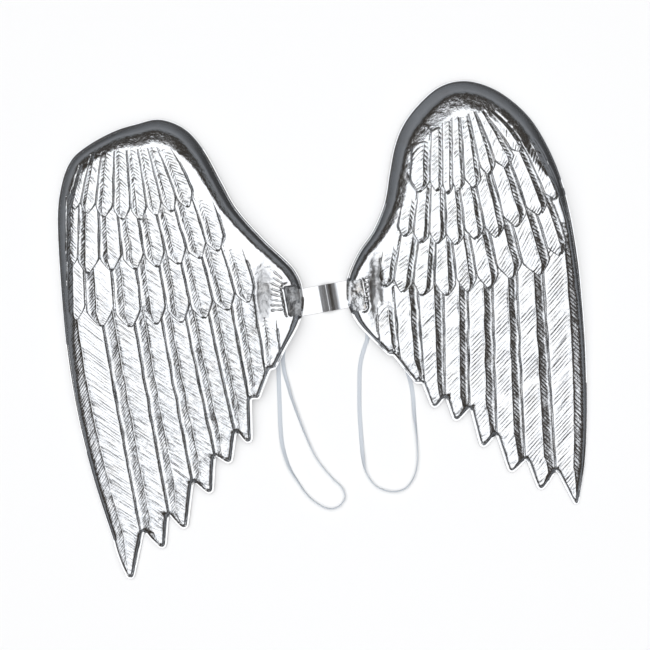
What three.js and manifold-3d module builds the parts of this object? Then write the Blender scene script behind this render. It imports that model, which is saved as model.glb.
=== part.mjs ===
import * as THREE from 'three';
import { mergeVertices } from 'three/addons/utils/BufferGeometryUtils.js';
import Module from 'manifold-3d';

// A pair of angel wings lying on their open backs, in millimetres: X across, Y towards the wing tops, Z up.
const wasm = await Module();
wasm.setup();

// Driving sizes
const leftWingWidth = 213;
const leftWingHeight = 400;
const rightWingWidth = 210;
const rightWingHeight = 369;
const rightWingRise = 64.6; // its lowest tip above the left wing's
const rootGap = 37; // between the two inner edges
const crownDepth = 24; // from the back to the highest part of the shell
const wallThickness = 1.5;
const flangeThickness = 1.1;
const flangeWidth = 1.6;
const bandWidth = 15; // the smooth rounded leading edge
const tipSlope = 4; // how far the shell takes to rise at the trailing side
const featherRise = 1.9; // a feather's shaft above its edges
const rowStep = 1.5; // a row's free ends above the row under it
const featherSkirt = 1.4; // slope at a feather's side
const featherSeat = 0.2; // a feather's edge above the shell under it
const leastFoot = 0.3; // the lowest that a raised form's foot lies
const tipHalfWidth = 0.4; // half of a feather's narrowest end
const ribRise = 1.3;
const ribWidth = 3.4;
const ribTaper = 0.35;
const padLength = 26;
const padWidth = 13;
const padInset = 2.4; // from the inner edge to the pad
const padMargin = 2;
const stripWidth = 23.5;
const stripThickness = 0.8;
const stripTilt = 0.18; // radians
const stripEndInset = 4; // the strip's hidden end past the pad's far side
const waveHeight = 3;
const waveLength = 18;
const elasticWidth = 3.6;
const elasticThickness = 0.8;
const clearance = 0.3;

const metalSilver = new THREE.MeshStandardMaterial({ color: 0xd9dcdf, roughness: 0.15, metalness: 1 });
const metalSilverRight = metalSilver.clone();
const metalStrip = new THREE.MeshStandardMaterial({ color: 0xe3e5e8, roughness: 0.1, metalness: 1 });
const elasticWhite = new THREE.MeshStandardMaterial({ color: 0xe6ebf0, roughness: 0.7, metalness: 0 });

// How deep the shell is, from the lowest tip to the top. Columns: up, depth, as shares of height and crown.
const depthRows = [
  [0.0, 0.1], [0.12, 0.17], [0.3, 0.34], [0.5, 0.62], [0.68, 0.85], [0.85, 1.0], [1.0, 0.96],
];

// Every place in a wing's tables is a share of its width, out from the inner edge, and of its height,
// up from its lowest tip. Edge columns: across, up. The edge runs from under the root over the top
// and down the outside to the outermost tip.
// Tip columns: tip across, tip up, then the notch that follows, across, up.
// Feather columns: base across, base up, tip across, tip up, half width at the base, half width further down.
const leftWing = {
  name: 'wing_left', side: -1, width: leftWingWidth, height: leftWingHeight, rise: 0,
  material: metalSilver, hub: [0.57, 0.66],
  edge: [
    [0.004, 0.58], [0.0, 0.606], [0.008, 0.639], [0.029, 0.665], [0.065, 0.689], [0.172, 0.743],
    [0.274, 0.805], [0.339, 0.866], [0.409, 0.933], [0.487, 0.979], [0.589, 1.0], [0.687, 0.99],
    [0.785, 0.973], [0.896, 0.94], [0.957, 0.907], [0.99, 0.85], [1.0, 0.77], [0.975, 0.606],
    [0.949, 0.475], [0.906, 0.344], [0.843, 0.213], [0.765, 0.082],
  ],
  tips: [
    [0.71, 0.0, 0.654, 0.102], [0.577, 0.067, 0.552, 0.138], [0.487, 0.11, 0.45, 0.21],
    [0.382, 0.187, 0.36, 0.266], [0.303, 0.253, 0.274, 0.319], [0.223, 0.297, 0.213, 0.39],
    [0.184, 0.392, 0.135, 0.453], [0.117, 0.457, 0.074, 0.499],
  ],
  rear: [[0.02, 0.549]],
  longFeathers: [
    [0.892, 0.571, 0.71, 0.003, 0.07, 0.06], [0.757, 0.558, 0.577, 0.07, 0.065, 0.061],
    [0.63, 0.558, 0.489, 0.114, 0.055, 0.061], [0.528, 0.562, 0.384, 0.19, 0.051, 0.055],
    [0.434, 0.569, 0.305, 0.257, 0.047, 0.051], [0.339, 0.582, 0.225, 0.3, 0.045, 0.045],
    [0.249, 0.599, 0.188, 0.396, 0.043, 0.037], [0.147, 0.58, 0.117, 0.462, 0.037, 0.029],
  ],
  rows: [
    [
      [0.941, 0.684, 0.933, 0.558, 0.029, 0.041], [0.843, 0.671, 0.826, 0.545, 0.041, 0.057],
      [0.736, 0.676, 0.708, 0.543, 0.041, 0.053], [0.638, 0.68, 0.601, 0.549, 0.041, 0.053],
      [0.548, 0.687, 0.499, 0.553, 0.041, 0.051], [0.462, 0.693, 0.405, 0.562, 0.039, 0.047],
      [0.38, 0.709, 0.307, 0.58, 0.037, 0.045], [0.294, 0.722, 0.225, 0.597, 0.033, 0.041],
    ],
    [
      [0.949, 0.807, 0.949, 0.676, 0.025, 0.025], [0.875, 0.807, 0.883, 0.66, 0.037, 0.045],
      [0.802, 0.794, 0.785, 0.667, 0.037, 0.045], [0.72, 0.789, 0.687, 0.669, 0.037, 0.045],
      [0.642, 0.794, 0.597, 0.674, 0.037, 0.045], [0.569, 0.8, 0.507, 0.68, 0.037, 0.043],
      [0.491, 0.809, 0.421, 0.693, 0.037, 0.041], [0.413, 0.824, 0.348, 0.709, 0.033, 0.039],
    ],
    [
      [0.892, 0.907, 0.941, 0.8, 0.02, 0.025], [0.847, 0.933, 0.888, 0.791, 0.025, 0.035],
      [0.798, 0.94, 0.818, 0.783, 0.025, 0.039], [0.748, 0.944, 0.74, 0.778, 0.025, 0.037],
      [0.703, 0.947, 0.667, 0.778, 0.025, 0.037], [0.663, 0.947, 0.601, 0.787, 0.025, 0.037],
      [0.626, 0.947, 0.536, 0.796, 0.025, 0.039], [0.585, 0.942, 0.47, 0.805, 0.025, 0.039],
    ],
  ],
  // Rib columns: outer end across, up, inner end across, up
  ribs: [
    [0.172, 0.667, 0.082, 0.634], [0.172, 0.641, 0.082, 0.626], [0.172, 0.615, 0.082, 0.612],
    [0.172, 0.588, 0.082, 0.597], [0.155, 0.558, 0.082, 0.582],
  ],
  padUp: 0.604,
};

const rightWing = {
  name: 'wing_right', side: 1, width: rightWingWidth, height: rightWingHeight, rise: rightWingRise,
  material: metalSilverRight, hub: [0.52, 0.6],
  edge: [
    [0.002, 0.475], [0.0, 0.505], [0.006, 0.541], [0.048, 0.595], [0.11, 0.647], [0.156, 0.711],
    [0.176, 0.778], [0.197, 0.841], [0.23, 0.891], [0.288, 0.938], [0.376, 0.983], [0.471, 1.0],
    [0.571, 0.991], [0.67, 0.961], [0.766, 0.91], [0.84, 0.841], [0.894, 0.766], [0.932, 0.683],
    [0.961, 0.588], [0.977, 0.505], [0.994, 0.375], [1.0, 0.228], [0.992, 0.103], [0.969, 0.015],
  ],
  tips: [
    [0.954, 0.0, 0.871, 0.079], [0.807, 0.036, 0.747, 0.105], [0.683, 0.078, 0.62, 0.164],
    [0.566, 0.137, 0.512, 0.226], [0.454, 0.199, 0.409, 0.252], [0.363, 0.23, 0.313, 0.285],
    [0.288, 0.286, 0.191, 0.351], [0.176, 0.351, 0.098, 0.392],
  ],
  rear: [[0.035, 0.43]],
  longFeathers: [
    [0.869, 0.588, 0.954, 0.004, 0.054, 0.062], [0.761, 0.548, 0.807, 0.039, 0.054, 0.056],
    [0.658, 0.529, 0.685, 0.082, 0.05, 0.052], [0.554, 0.512, 0.566, 0.141, 0.05, 0.052],
    [0.454, 0.503, 0.456, 0.202, 0.05, 0.05], [0.351, 0.498, 0.363, 0.233, 0.05, 0.048],
    [0.247, 0.493, 0.288, 0.29, 0.046, 0.041], [0.156, 0.493, 0.172, 0.359, 0.037, 0.033],
  ],
  rows: [
    [
      [0.185, 0.605, 0.156, 0.51, 0.033, 0.029], [0.255, 0.609, 0.23, 0.496, 0.033, 0.037],
      [0.338, 0.607, 0.309, 0.489, 0.033, 0.037], [0.405, 0.607, 0.417, 0.489, 0.033, 0.041],
      [0.475, 0.614, 0.504, 0.498, 0.033, 0.044], [0.554, 0.624, 0.595, 0.505, 0.035, 0.046],
      [0.637, 0.636, 0.683, 0.529, 0.037, 0.046], [0.737, 0.671, 0.803, 0.538, 0.037, 0.046],
      [0.824, 0.699, 0.89, 0.583, 0.031, 0.037],
    ],
    [
      [0.263, 0.718, 0.239, 0.628, 0.033, 0.029], [0.322, 0.728, 0.309, 0.612, 0.029, 0.029],
      [0.38, 0.725, 0.376, 0.612, 0.029, 0.033], [0.438, 0.73, 0.454, 0.609, 0.029, 0.035],
      [0.504, 0.742, 0.537, 0.621, 0.031, 0.037], [0.566, 0.766, 0.624, 0.626, 0.033, 0.039],
      [0.637, 0.785, 0.707, 0.652, 0.033, 0.041], [0.707, 0.822, 0.807, 0.68, 0.029, 0.037],
      [0.774, 0.832, 0.869, 0.718, 0.025, 0.029],
    ],
    [
      [0.305, 0.865, 0.301, 0.733, 0.037, 0.041], [0.376, 0.903, 0.376, 0.735, 0.021, 0.029],
      [0.417, 0.917, 0.421, 0.728, 0.021, 0.025], [0.454, 0.927, 0.459, 0.737, 0.019, 0.025],
      [0.492, 0.927, 0.529, 0.744, 0.021, 0.033], [0.512, 0.936, 0.591, 0.775, 0.021, 0.033],
      [0.546, 0.936, 0.666, 0.792, 0.021, 0.033], [0.591, 0.927, 0.732, 0.832, 0.025, 0.029],
    ],
  ],
  ribs: [
    [0.131, 0.557, 0.075, 0.52], [0.139, 0.529, 0.075, 0.508], [0.139, 0.501, 0.075, 0.493],
    [0.139, 0.472, 0.075, 0.479], [0.131, 0.439, 0.075, 0.463],
  ],
  padUp: 0.492,
};

// Both wings together are centred on the origin.
const wholeHeight = Math.max(leftWingHeight, rightWingRise + rightWingHeight);
const lowestTip = -wholeHeight / 2;
const gapMiddle = (leftWingWidth - rightWingWidth) / 2;
// The strip and the elastic lie under the roots, so each wing leans on its outer edge.
const rootLift = stripThickness + elasticThickness + 2 * clearance;

// The arm loops' routes. Columns: x, y, turn, where 0 lies flat and 90 stands on its edge.
const leftLoopRoute = [
  [-23.1, 24.7, 0], [-26.6, 14.2, 0], [-31.0, 1.1, 0], [-34.0, -13.7, 0], [-35.4, -25.1, 5],
  [-34.3, -36.4, 24], [-31.0, -48.7, 42], [-27.5, -60.9, 56], [-18.8, -84.5, 72], [-10.9, -103.3, 82],
  [-4.2, -115.5, 88], [6.9, -129.0, 90], [15.8, -137.7, 90], [18.6, -144.4, 90], [18.1, -148.9, 90],
  [13.5, -154.5, 90], [5.8, -156.7, 90], [-3.1, -153.4, 90], [-13.1, -145.6, 88], [-22.0, -133.4, 76],
  [-29.9, -120.0, 55], [-35.4, -103.3, 30], [-37.5, -86.2, 14], [-38.2, -69.6, 5], [-38.8, -53.0, 0],
  [-39.3, -36.4, 0], [-39.7, -25.1, 0], [-38.4, -12.0, 0], [-35.4, 2.0, 0], [-31.9, 14.2, 0],
  [-28.8, 24.7, 0],
];
const rightLoopRoute = [
  [25.8, 28.2, 0], [31.0, 16.8, 0], [36.2, 4.6, 0], [38.4, -6.8, 0], [36.2, -14.6, 0],
  [33.6, -23.1, 5], [31.9, -32.1, 0], [31.4, -42.0, 0], [31.3, -55.7, 0], [31.4, -69.9, 0],
  [32.1, -83.6, 4], [33.1, -97.6, 14], [34.7, -114.1, 45], [37.1, -124.6, 84], [42.5, -133.4, 90],
  [49.3, -138.9, 90], [60.4, -141.7, 90], [70.3, -139.5, 90], [76.4, -133.4, 90], [80.4, -124.6, 90],
  [82.1, -112.4, 88], [81.6, -97.6, 80], [80.6, -86.2, 62], [79.3, -75.5, 38], [78.1, -58.7, 8],
  [76.0, -46.5, 0], [72.0, -33.8, 0], [65.0, -19.0, 0], [55.4, -4.1, 0], [44.1, 10.7, 0],
  [31.9, 28.2, 0],
];
const elasticStep = 10.8;

const degree = Math.PI / 180;
const leadingSteps = 30;

// A value from a table of two columns, in straight steps between its rows
function between(rows, at) {
  const last = rows.length - 1;
  const next = rows.findIndex((row) => row[0] >= at);
  if (next === 0) return rows[0][1];
  if (next < 0) return rows[last][1];
  const [from, low] = rows[next - 1];
  const [to, high] = rows[next];
  return low + ((high - low) * (at - from)) / (to - from);
}

function toSolid(geometry) {
  const bare = geometry.clone();
  bare.deleteAttribute('normal');
  bare.deleteAttribute('uv');
  const welded = mergeVertices(bare, 1e-4);
  return new wasm.Manifold(new wasm.Mesh({
    numProp: 3,
    vertProperties: new Float32Array(welded.attributes.position.array),
    triVerts: new Uint32Array(welded.index.array),
  }));
}

function fromSolid(solid) {
  const mesh = solid.getMesh();
  const geometry = new THREE.BufferGeometry();
  geometry.setAttribute('position', new THREE.BufferAttribute(new Float32Array(mesh.vertProperties), 3));
  geometry.setIndex(new THREE.BufferAttribute(new Uint32Array(mesh.triVerts), 1));
  geometry.computeVertexNormals();
  return geometry;
}

// A closed body from rings of equal length, the first and last closed by a middle point
function loftRings(rings, firstMiddle, lastMiddle) {
  const count = rings[0].length;
  const points = [...rings.flat(), firstMiddle, lastMiddle];
  const faces = [];
  for (let ring = 0; ring < rings.length - 1; ring += 1) {
    for (let i = 0; i < count; i += 1) {
      const a = ring * count + i;
      const b = ring * count + ((i + 1) % count);
      faces.push(a, b, b + count, a, b + count, a + count);
    }
  }
  const start = points.length - 2;
  const end = points.length - 1;
  const top = (rings.length - 1) * count;
  for (let i = 0; i < count; i += 1) {
    const next = (i + 1) % count;
    faces.push(start, next, i, end, top + i, top + next);
  }
  // Rings that run clockwise give a body that is inside out, which the sign of its volume shows.
  let volume = 0;
  for (let i = 0; i < faces.length; i += 3) {
    const [a, b, c] = [0, 1, 2].map((corner) => new THREE.Vector3(...points[faces[i + corner]]));
    volume += a.dot(b.cross(c)) / 6;
  }
  const geometry = new THREE.BufferGeometry();
  geometry.setAttribute('position', new THREE.Float32BufferAttribute(points.flat(), 3));
  geometry.setIndex(volume < 0 ? faces.reverse() : faces);
  return geometry;
}

const middleOf = (ring) => [0, 1, 2].map((axis) => ring.reduce((sum, p) => sum + p[axis], 0) / ring.length);

// One wing, worked out in its own frame: x outwards from the inner edge, y up from the lowest tip.
// The left wing is turned over at the end, so both are made by the same steps.
function makeWing(wing) {
  const place = ([across, up]) => new THREE.Vector2(across * wing.width, up * wing.height);
  const edgeCurve = new THREE.SplineCurve(wing.edge.map(place));
  const leading = edgeCurve.getPoints(leadingSteps);
  const notches = wing.tips.map((row) => place([row[2], row[3]]));

  // The outline goes on from the leading edge round each free tip to its notch.
  const outline = [...leading];
  wing.tips.forEach((row, index) => {
    const from = outline[outline.length - 1];
    const tip = place(row);
    const notch = notches[index];
    const roundness = Math.min(0.2, (2.4 * flangeWidth) / from.distanceTo(tip));
    const before = from.clone().lerp(tip, 0.55);
    const outwards = new THREE.Vector2(from.y - tip.y, tip.x - from.x).multiplyScalar(0.06);
    outline.push(before.add(outwards));
    outline.push(from.clone().lerp(tip, 1 - roundness));
    outline.push(tip.clone());
    outline.push(tip.clone().lerp(notch, roundness * 0.8));
    outline.push(notch.clone());
  });
  outline.push(...wing.rear.map(place));
  const leadingCount = leading.length;

  // The nearest distance to the outline, and whether that side is the leading edge
  const nearest = (x, y) => {
    const point = new THREE.Vector2(x, y);
    let best = Infinity;
    let isLeading = true;
    outline.forEach((from, index) => {
      const to = outline[(index + 1) % outline.length];
      const run = to.clone().sub(from);
      const share = THREE.MathUtils.clamp(point.clone().sub(from).dot(run) / run.lengthSq(), 0, 1);
      const distance = point.distanceTo(from.clone().addScaledVector(run, share));
      if (distance < best) {
        best = distance;
        isLeading = index < leadingCount - 1;
      }
    });
    return [best, isLeading];
  };
  // How far it is from a point to the outline in one direction
  const room = (point, direction) => {
    let best = Infinity;
    outline.forEach((from, index) => {
      const run = outline[(index + 1) % outline.length].clone().sub(from);
      const gap = from.clone().sub(point);
      const turn = direction.cross(run);
      const share = gap.cross(direction) / turn;
      const far = gap.cross(run) / turn;
      if (share >= 0 && share <= 1 && far > 0) best = Math.min(best, far);
    });
    return best;
  };
  const plateau = (y) => crownDepth * between(depthRows, y / wing.height);
  const heightAt = (x, y) => {
    const [distance, isLeading] = nearest(x, y);
    const top = plateau(y);
    const full = isLeading ? Math.min(bandWidth, 0.75 * top + flangeWidth) : Math.min(tipSlope, top);
    const share = THREE.MathUtils.clamp((distance - flangeWidth) / full, 0, 1);
    return flangeThickness + (top - flangeThickness) * Math.sin((share * Math.PI) / 2);
  };

  const plate = toSolid(new THREE.ExtrudeGeometry(new THREE.Shape(outline), {
    depth: flangeThickness, bevelEnabled: false, steps: 1,
  }));

  // The domed body, through rings drawn in from the leading edge and the line of notches to one hub
  const hub = place(wing.hub);
  const border = [...leading, ...notches, ...wing.rear.map(place)];
  const bandShares = [0, 0.22, 0.5, 1];
  const innerShares = [0.3, 0.65];
  const inward = (index, distance) => {
    const at = border[index];
    const before = border[(index + border.length - 1) % border.length];
    const after = border[(index + 1) % border.length];
    const along = after.clone().sub(before).normalize();
    const toHub = hub.clone().sub(at);
    const reach = toHub.length();
    toHub.normalize();
    const slant = Math.max(0.45, Math.abs(along.cross(toHub)));
    return at.clone().addScaledVector(toHub, Math.min(distance / slant, 0.4 * reach));
  };
  const isLeadingPoint = (index) => index < leadingCount;
  const rings = [border.map((_, index) => {
    const p = inward(index, flangeWidth * 0.5);
    return [p.x, p.y, 0];
  })];
  bandShares.forEach((share) => {
    rings.push(border.map((at, index) => {
      const full = isLeadingPoint(index) ? bandWidth : tipSlope;
      const p = inward(index, flangeWidth + share * full);
      return [p.x, p.y, heightAt(p.x, p.y)];
    }));
  });
  const band = rings[rings.length - 1];
  innerShares.forEach((share) => {
    rings.push(band.map(([x, y]) => {
      const p = new THREE.Vector2(x, y).lerp(hub, share);
      return [p.x, p.y, heightAt(p.x, p.y)];
    }));
  });
  const hubTop = [hub.x, hub.y, heightAt(hub.x, hub.y)];
  const crown = toSolid(loftRings(rings, [hub.x, hub.y, 0], hubTop));

  // A feather: five points across, low at its sides and high at its shaft, narrowing to its tip.
  // Columns of the sections: how far along, width, lift of the free end
  const longSections = [[0, 0.8, 0.1], [0.45, 1, 0.5], [0.78, 1, 0.85], [0.92, 0.9, 1], [0.99, 0.3, 1]];
  const shortSections = [[0, 0.85, 0.1], [0.74, 1, 0.85], [0.92, 0.72, 1], [1, 0.25, 1]];
  const endWidening = 0.9;
  const mostWidening = 1.25;
  const longTuck = 0.04;
  const shortTuck = [0.12, 0.12, 0];
  const makeFeather = ([baseAcross, baseUp, tipAcross, tipUp, baseHalf, endHalf], lift, tuck, isLong) => {
    const sections = isLong ? longSections : shortSections;
    const tip = place([tipAcross, tipUp]);
    const base = place([baseAcross, baseUp]).lerp(tip, -tuck);
    const along = tip.clone().sub(base).normalize();
    const across = new THREE.Vector2(-along.y, along.x);
    const featherRings = sections.map(([share, widthShare, liftShare]) => {
      const centre = base.clone().lerp(tip, share);
      const table = THREE.MathUtils.lerp(baseHalf, endHalf, share) * wing.width;
      const halfAt = (sign) => {
        const free = room(centre, across.clone().multiplyScalar(sign)) - flangeWidth - featherSkirt;
        const wanted = isLong && share > 0.5 ? Math.max(table, endWidening * free) : table;
        return Math.max(tipHalfWidth, Math.min(wanted * widthShare, table * mostWidening, free));
      };
      const halves = { '-1': halfAt(-1), 1: halfAt(1) };
      const edgeLift = lift * liftShare;
      const middle = heightAt(centre.x, centre.y);
      const sideAt = (sign, out) => {
        const p = centre.clone().addScaledVector(across, sign * (halves[sign] + out));
        return [p.x, p.y];
      };
      const sideHeight = (sign) => {
        const [x, y] = sideAt(sign, 0);
        return Math.min(heightAt(x, y), middle) + edgeLift + featherSeat;
      };
      const low = sideHeight(-1);
      const high = sideHeight(1);
      const foot = (height) => (isLong ? 0 : Math.max(leastFoot, height - lift - featherSkirt));
      const slim = Math.min(halves[-1], halves[1]) / (2 * featherSkirt);
      const shaft = middle + edgeLift + featherRise * Math.min(1, slim);
      return [
        [...sideAt(-1, featherSkirt), foot(low)],
        [...sideAt(-1, 0), low],
        [centre.x, centre.y, Math.max(shaft, low, high)],
        [...sideAt(1, 0), high],
        [...sideAt(1, featherSkirt), foot(high)],
      ];
    });
    return toSolid(loftRings(featherRings, middleOf(featherRings[0]), middleOf(featherRings.at(-1))));
  };

  const makeRib = ([outerAcross, outerUp, innerAcross, innerUp]) => {
    const from = place([outerAcross, outerUp]);
    const to = place([innerAcross, innerUp]);
    const along = to.clone().sub(from).normalize();
    const across = new THREE.Vector2(-along.y, along.x);
    const ribRings = [0, 0.5, 1].map((share) => {
      const centre = from.clone().lerp(to, share);
      const half = (ribWidth / 2) * (1 - ribTaper * share);
      const ground = heightAt(centre.x, centre.y);
      const left = centre.clone().addScaledVector(across, -half);
      const right = centre.clone().addScaledVector(across, half);
      const foot = Math.max(leastFoot, ground - ribRise);
      return [[left.x, left.y, foot], [centre.x, centre.y, ground + ribRise], [right.x, right.y, foot]];
    });
    return toSolid(loftRings(ribRings, middleOf(ribRings[0]), middleOf(ribRings.at(-1))));
  };

  const long = wing.longFeathers.map((row) => makeFeather(row, rowStep, longTuck, true));
  const short = wing.rows.flatMap((rows, index) => (
    rows.map((row) => makeFeather(row, rowStep * (1 + 0.25 * index), shortTuck[index], false))
  ));
  const ribs = wing.ribs.map(makeRib);
  let shell = wasm.Manifold.union([plate, crown, ...long, ...short, ...ribs]);
  let hollow = crown.translate([0, 0, -wallThickness]);

  // The sunken pad at the root: a flat floor at the rim's level, with the wall left round it
  const padBlock = (margin, bottom) => {
    const size = [padWidth + 2 * margin, padLength + 2 * margin, 2 * crownDepth];
    const block = new THREE.BoxGeometry(...size);
    block.rotateZ(wing.side * stripTilt);
    block.translate(padInset + padWidth / 2, wing.padUp * wing.height, bottom + size[2] / 2);
    return toSolid(block);
  };
  shell = shell.subtract(padBlock(0, flangeThickness));
  hollow = hollow.subtract(padBlock(padMargin, -crownDepth / 2));
  // Cutting can leave slivers with no volume, and the shell is the one large body.
  const bodies = shell.subtract(hollow).decompose();
  return bodies.reduce((best, body) => (body.volume() > best.volume() ? body : best));
}

function makeWingMesh(wing) {
  let solid = makeWing(wing);
  if (wing.side < 0) solid = solid.mirror([1, 0, 0]);
  const mesh = new THREE.Mesh(fromSolid(solid), wing.material);
  mesh.name = wing.name;
  mesh.position.set(gapMiddle + (wing.side * rootGap) / 2, lowestTip + wing.rise, rootLift);
  mesh.rotation.y = wing.side * Math.asin(rootLift / wing.width);
  return mesh;
}

// The strip between the roots: flat ends behind the pads and one low wave between the wings
function makeStrip() {
  const reach = rootGap / 2 + padInset + padWidth + stripEndInset;
  const waveSteps = 12;
  const upper = [[-reach, stripThickness]];
  const lower = [[-reach, 0]];
  for (let i = 0; i <= waveSteps; i += 1) {
    const x = waveLength * (i / waveSteps - 0.5);
    const z = (waveHeight * (1 - Math.cos((2 * Math.PI * i) / waveSteps))) / 2;
    upper.push([x, z + stripThickness]);
    lower.push([x, z]);
  }
  upper.push([reach, stripThickness]);
  lower.push([reach, 0]);
  const profile = new THREE.Shape([...lower, ...upper.reverse()].map(([x, z]) => new THREE.Vector2(x, z)));
  const geometry = new THREE.ExtrudeGeometry(profile, { depth: stripWidth, bevelEnabled: false, steps: 1 });
  geometry.rotateX(Math.PI / 2);
  geometry.translate(0, stripWidth / 2, 0);
  const mesh = new THREE.Mesh(geometry, metalStrip);
  mesh.name = 'connector_strip';
  const leftPad = lowestTip + leftWing.rise + leftWing.padUp * leftWingHeight;
  const rightPad = lowestTip + rightWing.rise + rightWing.padUp * rightWingHeight;
  mesh.position.set(gapMiddle, (leftPad + rightPad) / 2, 0);
  mesh.rotation.z = stripTilt;
  return mesh;
}

// One length of flat elastic: its eight-sided section follows the route and turns as the route says.
function makeLoop(name, route) {
  const curve = new THREE.CatmullRomCurve3(route.map(([x, y]) => new THREE.Vector3(x, y, 0)), false, 'centripetal');
  const turns = new THREE.SplineCurve(route.map(([, , turn], index) => new THREE.Vector2(index, turn)));
  const steps = Math.round(curve.getLength() / elasticStep);
  const halfWidth = elasticWidth / 2;
  const halfThickness = elasticThickness / 2;
  const chamfer = elasticThickness / 4;
  const corners = [
    [-halfWidth, -halfThickness + chamfer], [-halfWidth + chamfer, -halfThickness],
    [halfWidth - chamfer, -halfThickness], [halfWidth, -halfThickness + chamfer],
    [halfWidth, halfThickness - chamfer], [halfWidth - chamfer, halfThickness],
    [-halfWidth + chamfer, halfThickness], [-halfWidth, halfThickness - chamfer],
  ];
  const section = new THREE.Shape(corners.map(([x, y]) => new THREE.Vector2(x, y)));
  const geometry = new THREE.ExtrudeGeometry(section, { depth: 1, bevelEnabled: false, steps });
  const position = geometry.attributes.position;
  const overStrip = stripThickness + clearance;
  const leavesStrip = 0.85 * stripWidth;
  const comesDown = elasticStep;
  for (let i = 0; i < position.count; i += 1) {
    const share = THREE.MathUtils.clamp(position.getZ(i), 0, 1);
    const at = curve.getPointAt(share);
    const direction = curve.getTangentAt(share);
    const turn = turns.getPoint(curve.getUtoTmapping(share)).y * degree;
    const side = new THREE.Vector3(-direction.y, direction.x, 0);
    const cos = Math.cos(turn);
    const sin = Math.sin(turn);
    const out = position.getX(i) * cos - position.getY(i) * sin;
    const rise = position.getX(i) * sin + position.getY(i) * cos;
    const bed = (halfWidth * Math.abs(sin)) + (halfThickness * Math.abs(cos));
    const fromEnd = Math.min(share, 1 - share) * curve.getLength();
    const lifted = THREE.MathUtils.clamp((leavesStrip + comesDown - fromEnd) / comesDown, 0, 1) * overStrip;
    position.setXYZ(i, at.x + side.x * out, at.y + side.y * out, lifted + bed + rise);
  }
  const bare = toSolid(geometry);
  const mesh = new THREE.Mesh(fromSolid(bare), elasticWhite.clone());
  mesh.name = name;
  return mesh;
}

const angelWings = new THREE.Group();
angelWings.add(
  makeWingMesh(leftWing),
  makeWingMesh(rightWing),
  makeStrip(),
  makeLoop('elastic_left', leftLoopRoute),
  makeLoop('elastic_right', rightLoopRoute),
);

export default angelWings;
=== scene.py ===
import math
import bpy
import numpy as np
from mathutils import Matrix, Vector, noise
from mathutils.geometry import delaunay_2d_cdt
from mathutils.kdtree import KDTree


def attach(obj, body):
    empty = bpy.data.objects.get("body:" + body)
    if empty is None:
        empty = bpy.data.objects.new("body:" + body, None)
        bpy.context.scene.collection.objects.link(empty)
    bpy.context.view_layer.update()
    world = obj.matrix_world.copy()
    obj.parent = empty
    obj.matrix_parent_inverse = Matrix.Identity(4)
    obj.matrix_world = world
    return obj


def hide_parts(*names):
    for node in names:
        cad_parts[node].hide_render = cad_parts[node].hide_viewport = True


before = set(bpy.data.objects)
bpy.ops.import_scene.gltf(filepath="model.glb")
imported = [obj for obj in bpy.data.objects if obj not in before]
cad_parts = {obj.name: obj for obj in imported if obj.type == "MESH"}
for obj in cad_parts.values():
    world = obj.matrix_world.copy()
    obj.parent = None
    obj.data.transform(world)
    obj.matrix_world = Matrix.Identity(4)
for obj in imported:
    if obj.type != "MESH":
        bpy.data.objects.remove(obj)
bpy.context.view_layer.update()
print("frame loaded")

mm = 0.001
scene = bpy.context.scene

# camera: straight above the wings as they lie, framed like the photograph
cameraSettings = dict(pixel=0.873, middle=(1.3, 3.7), pixels=650, height=1500, sensor=36)


def addCamera(s):
    data = bpy.data.cameras.new("camera")
    data.sensor_width = s["sensor"]
    data.lens = s["sensor"] * s["height"] / (s["pixel"] * s["pixels"])
    data.clip_end = 20
    camera = bpy.data.objects.new("camera", data)
    camera.location = (s["middle"][0] * mm, s["middle"][1] * mm, s["height"] * mm)
    scene.collection.objects.link(camera)
    scene.camera = camera


addCamera(cameraSettings)
print("camera placed")


# small helpers
def clearSelection():
    for o in bpy.context.selected_objects:
        o.select_set(False)


def smoothLine(points, perSpan=8):
    # a smooth curve through the points, with as many steps in every span
    p = np.array(points, float)
    p = np.vstack([2 * p[0] - p[1], p, 2 * p[-1] - p[-2]])
    out = []
    for i in range(1, len(p) - 2):
        for k in range(perSpan):
            t = k / perSpan
            out.append(0.5 * (2 * p[i] + (p[i + 1] - p[i - 1]) * t
                              + (2 * p[i - 1] - 5 * p[i] + 4 * p[i + 1] - p[i + 2]) * t * t
                              + (3 * p[i] - p[i - 1] - 3 * p[i + 1] + p[i + 2]) * t ** 3))
    out.append(p[-2])
    return np.array(out)


def evenly(line, step):
    # the same line with its points a fixed step apart
    along = np.concatenate([[0], np.cumsum(np.linalg.norm(np.diff(line, axis=0), axis=1))])
    at = np.linspace(0, along[-1], max(2, int(round(along[-1] / step)) + 1))
    return np.stack([np.interp(at, along, line[:, k]) for k in range(line.shape[1])], axis=1)


def roundCorners(line, times=2):
    # cuts the corners of a closed line
    for _ in range(times):
        after = np.roll(line, -1, axis=0)
        line = np.stack([0.75 * line + 0.25 * after, 0.25 * line + 0.75 * after], axis=1).reshape(-1, 2)
    return line


def newMesh(name, points, faces):
    mesh = bpy.data.meshes.new(name)
    mesh.from_pydata([tuple(p) for p in points], [], [tuple(f) for f in faces])
    mesh.update()
    o = bpy.data.objects.new(name, mesh)
    scene.collection.objects.link(o)
    return o


def makeActive(o):
    clearSelection()
    o.select_set(True)
    bpy.context.view_layer.objects.active = o


def turnFacesOut(o):
    makeActive(o)
    bpy.ops.object.mode_set(mode="EDIT")
    bpy.ops.mesh.select_all(action="SELECT")
    bpy.ops.mesh.normals_make_consistent(inside=False)
    bpy.ops.object.mode_set(mode="OBJECT")


def applyModifiers(o):
    makeActive(o)
    for m in list(o.modifiers):
        bpy.ops.object.modifier_apply(modifier=m.name)


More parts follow.
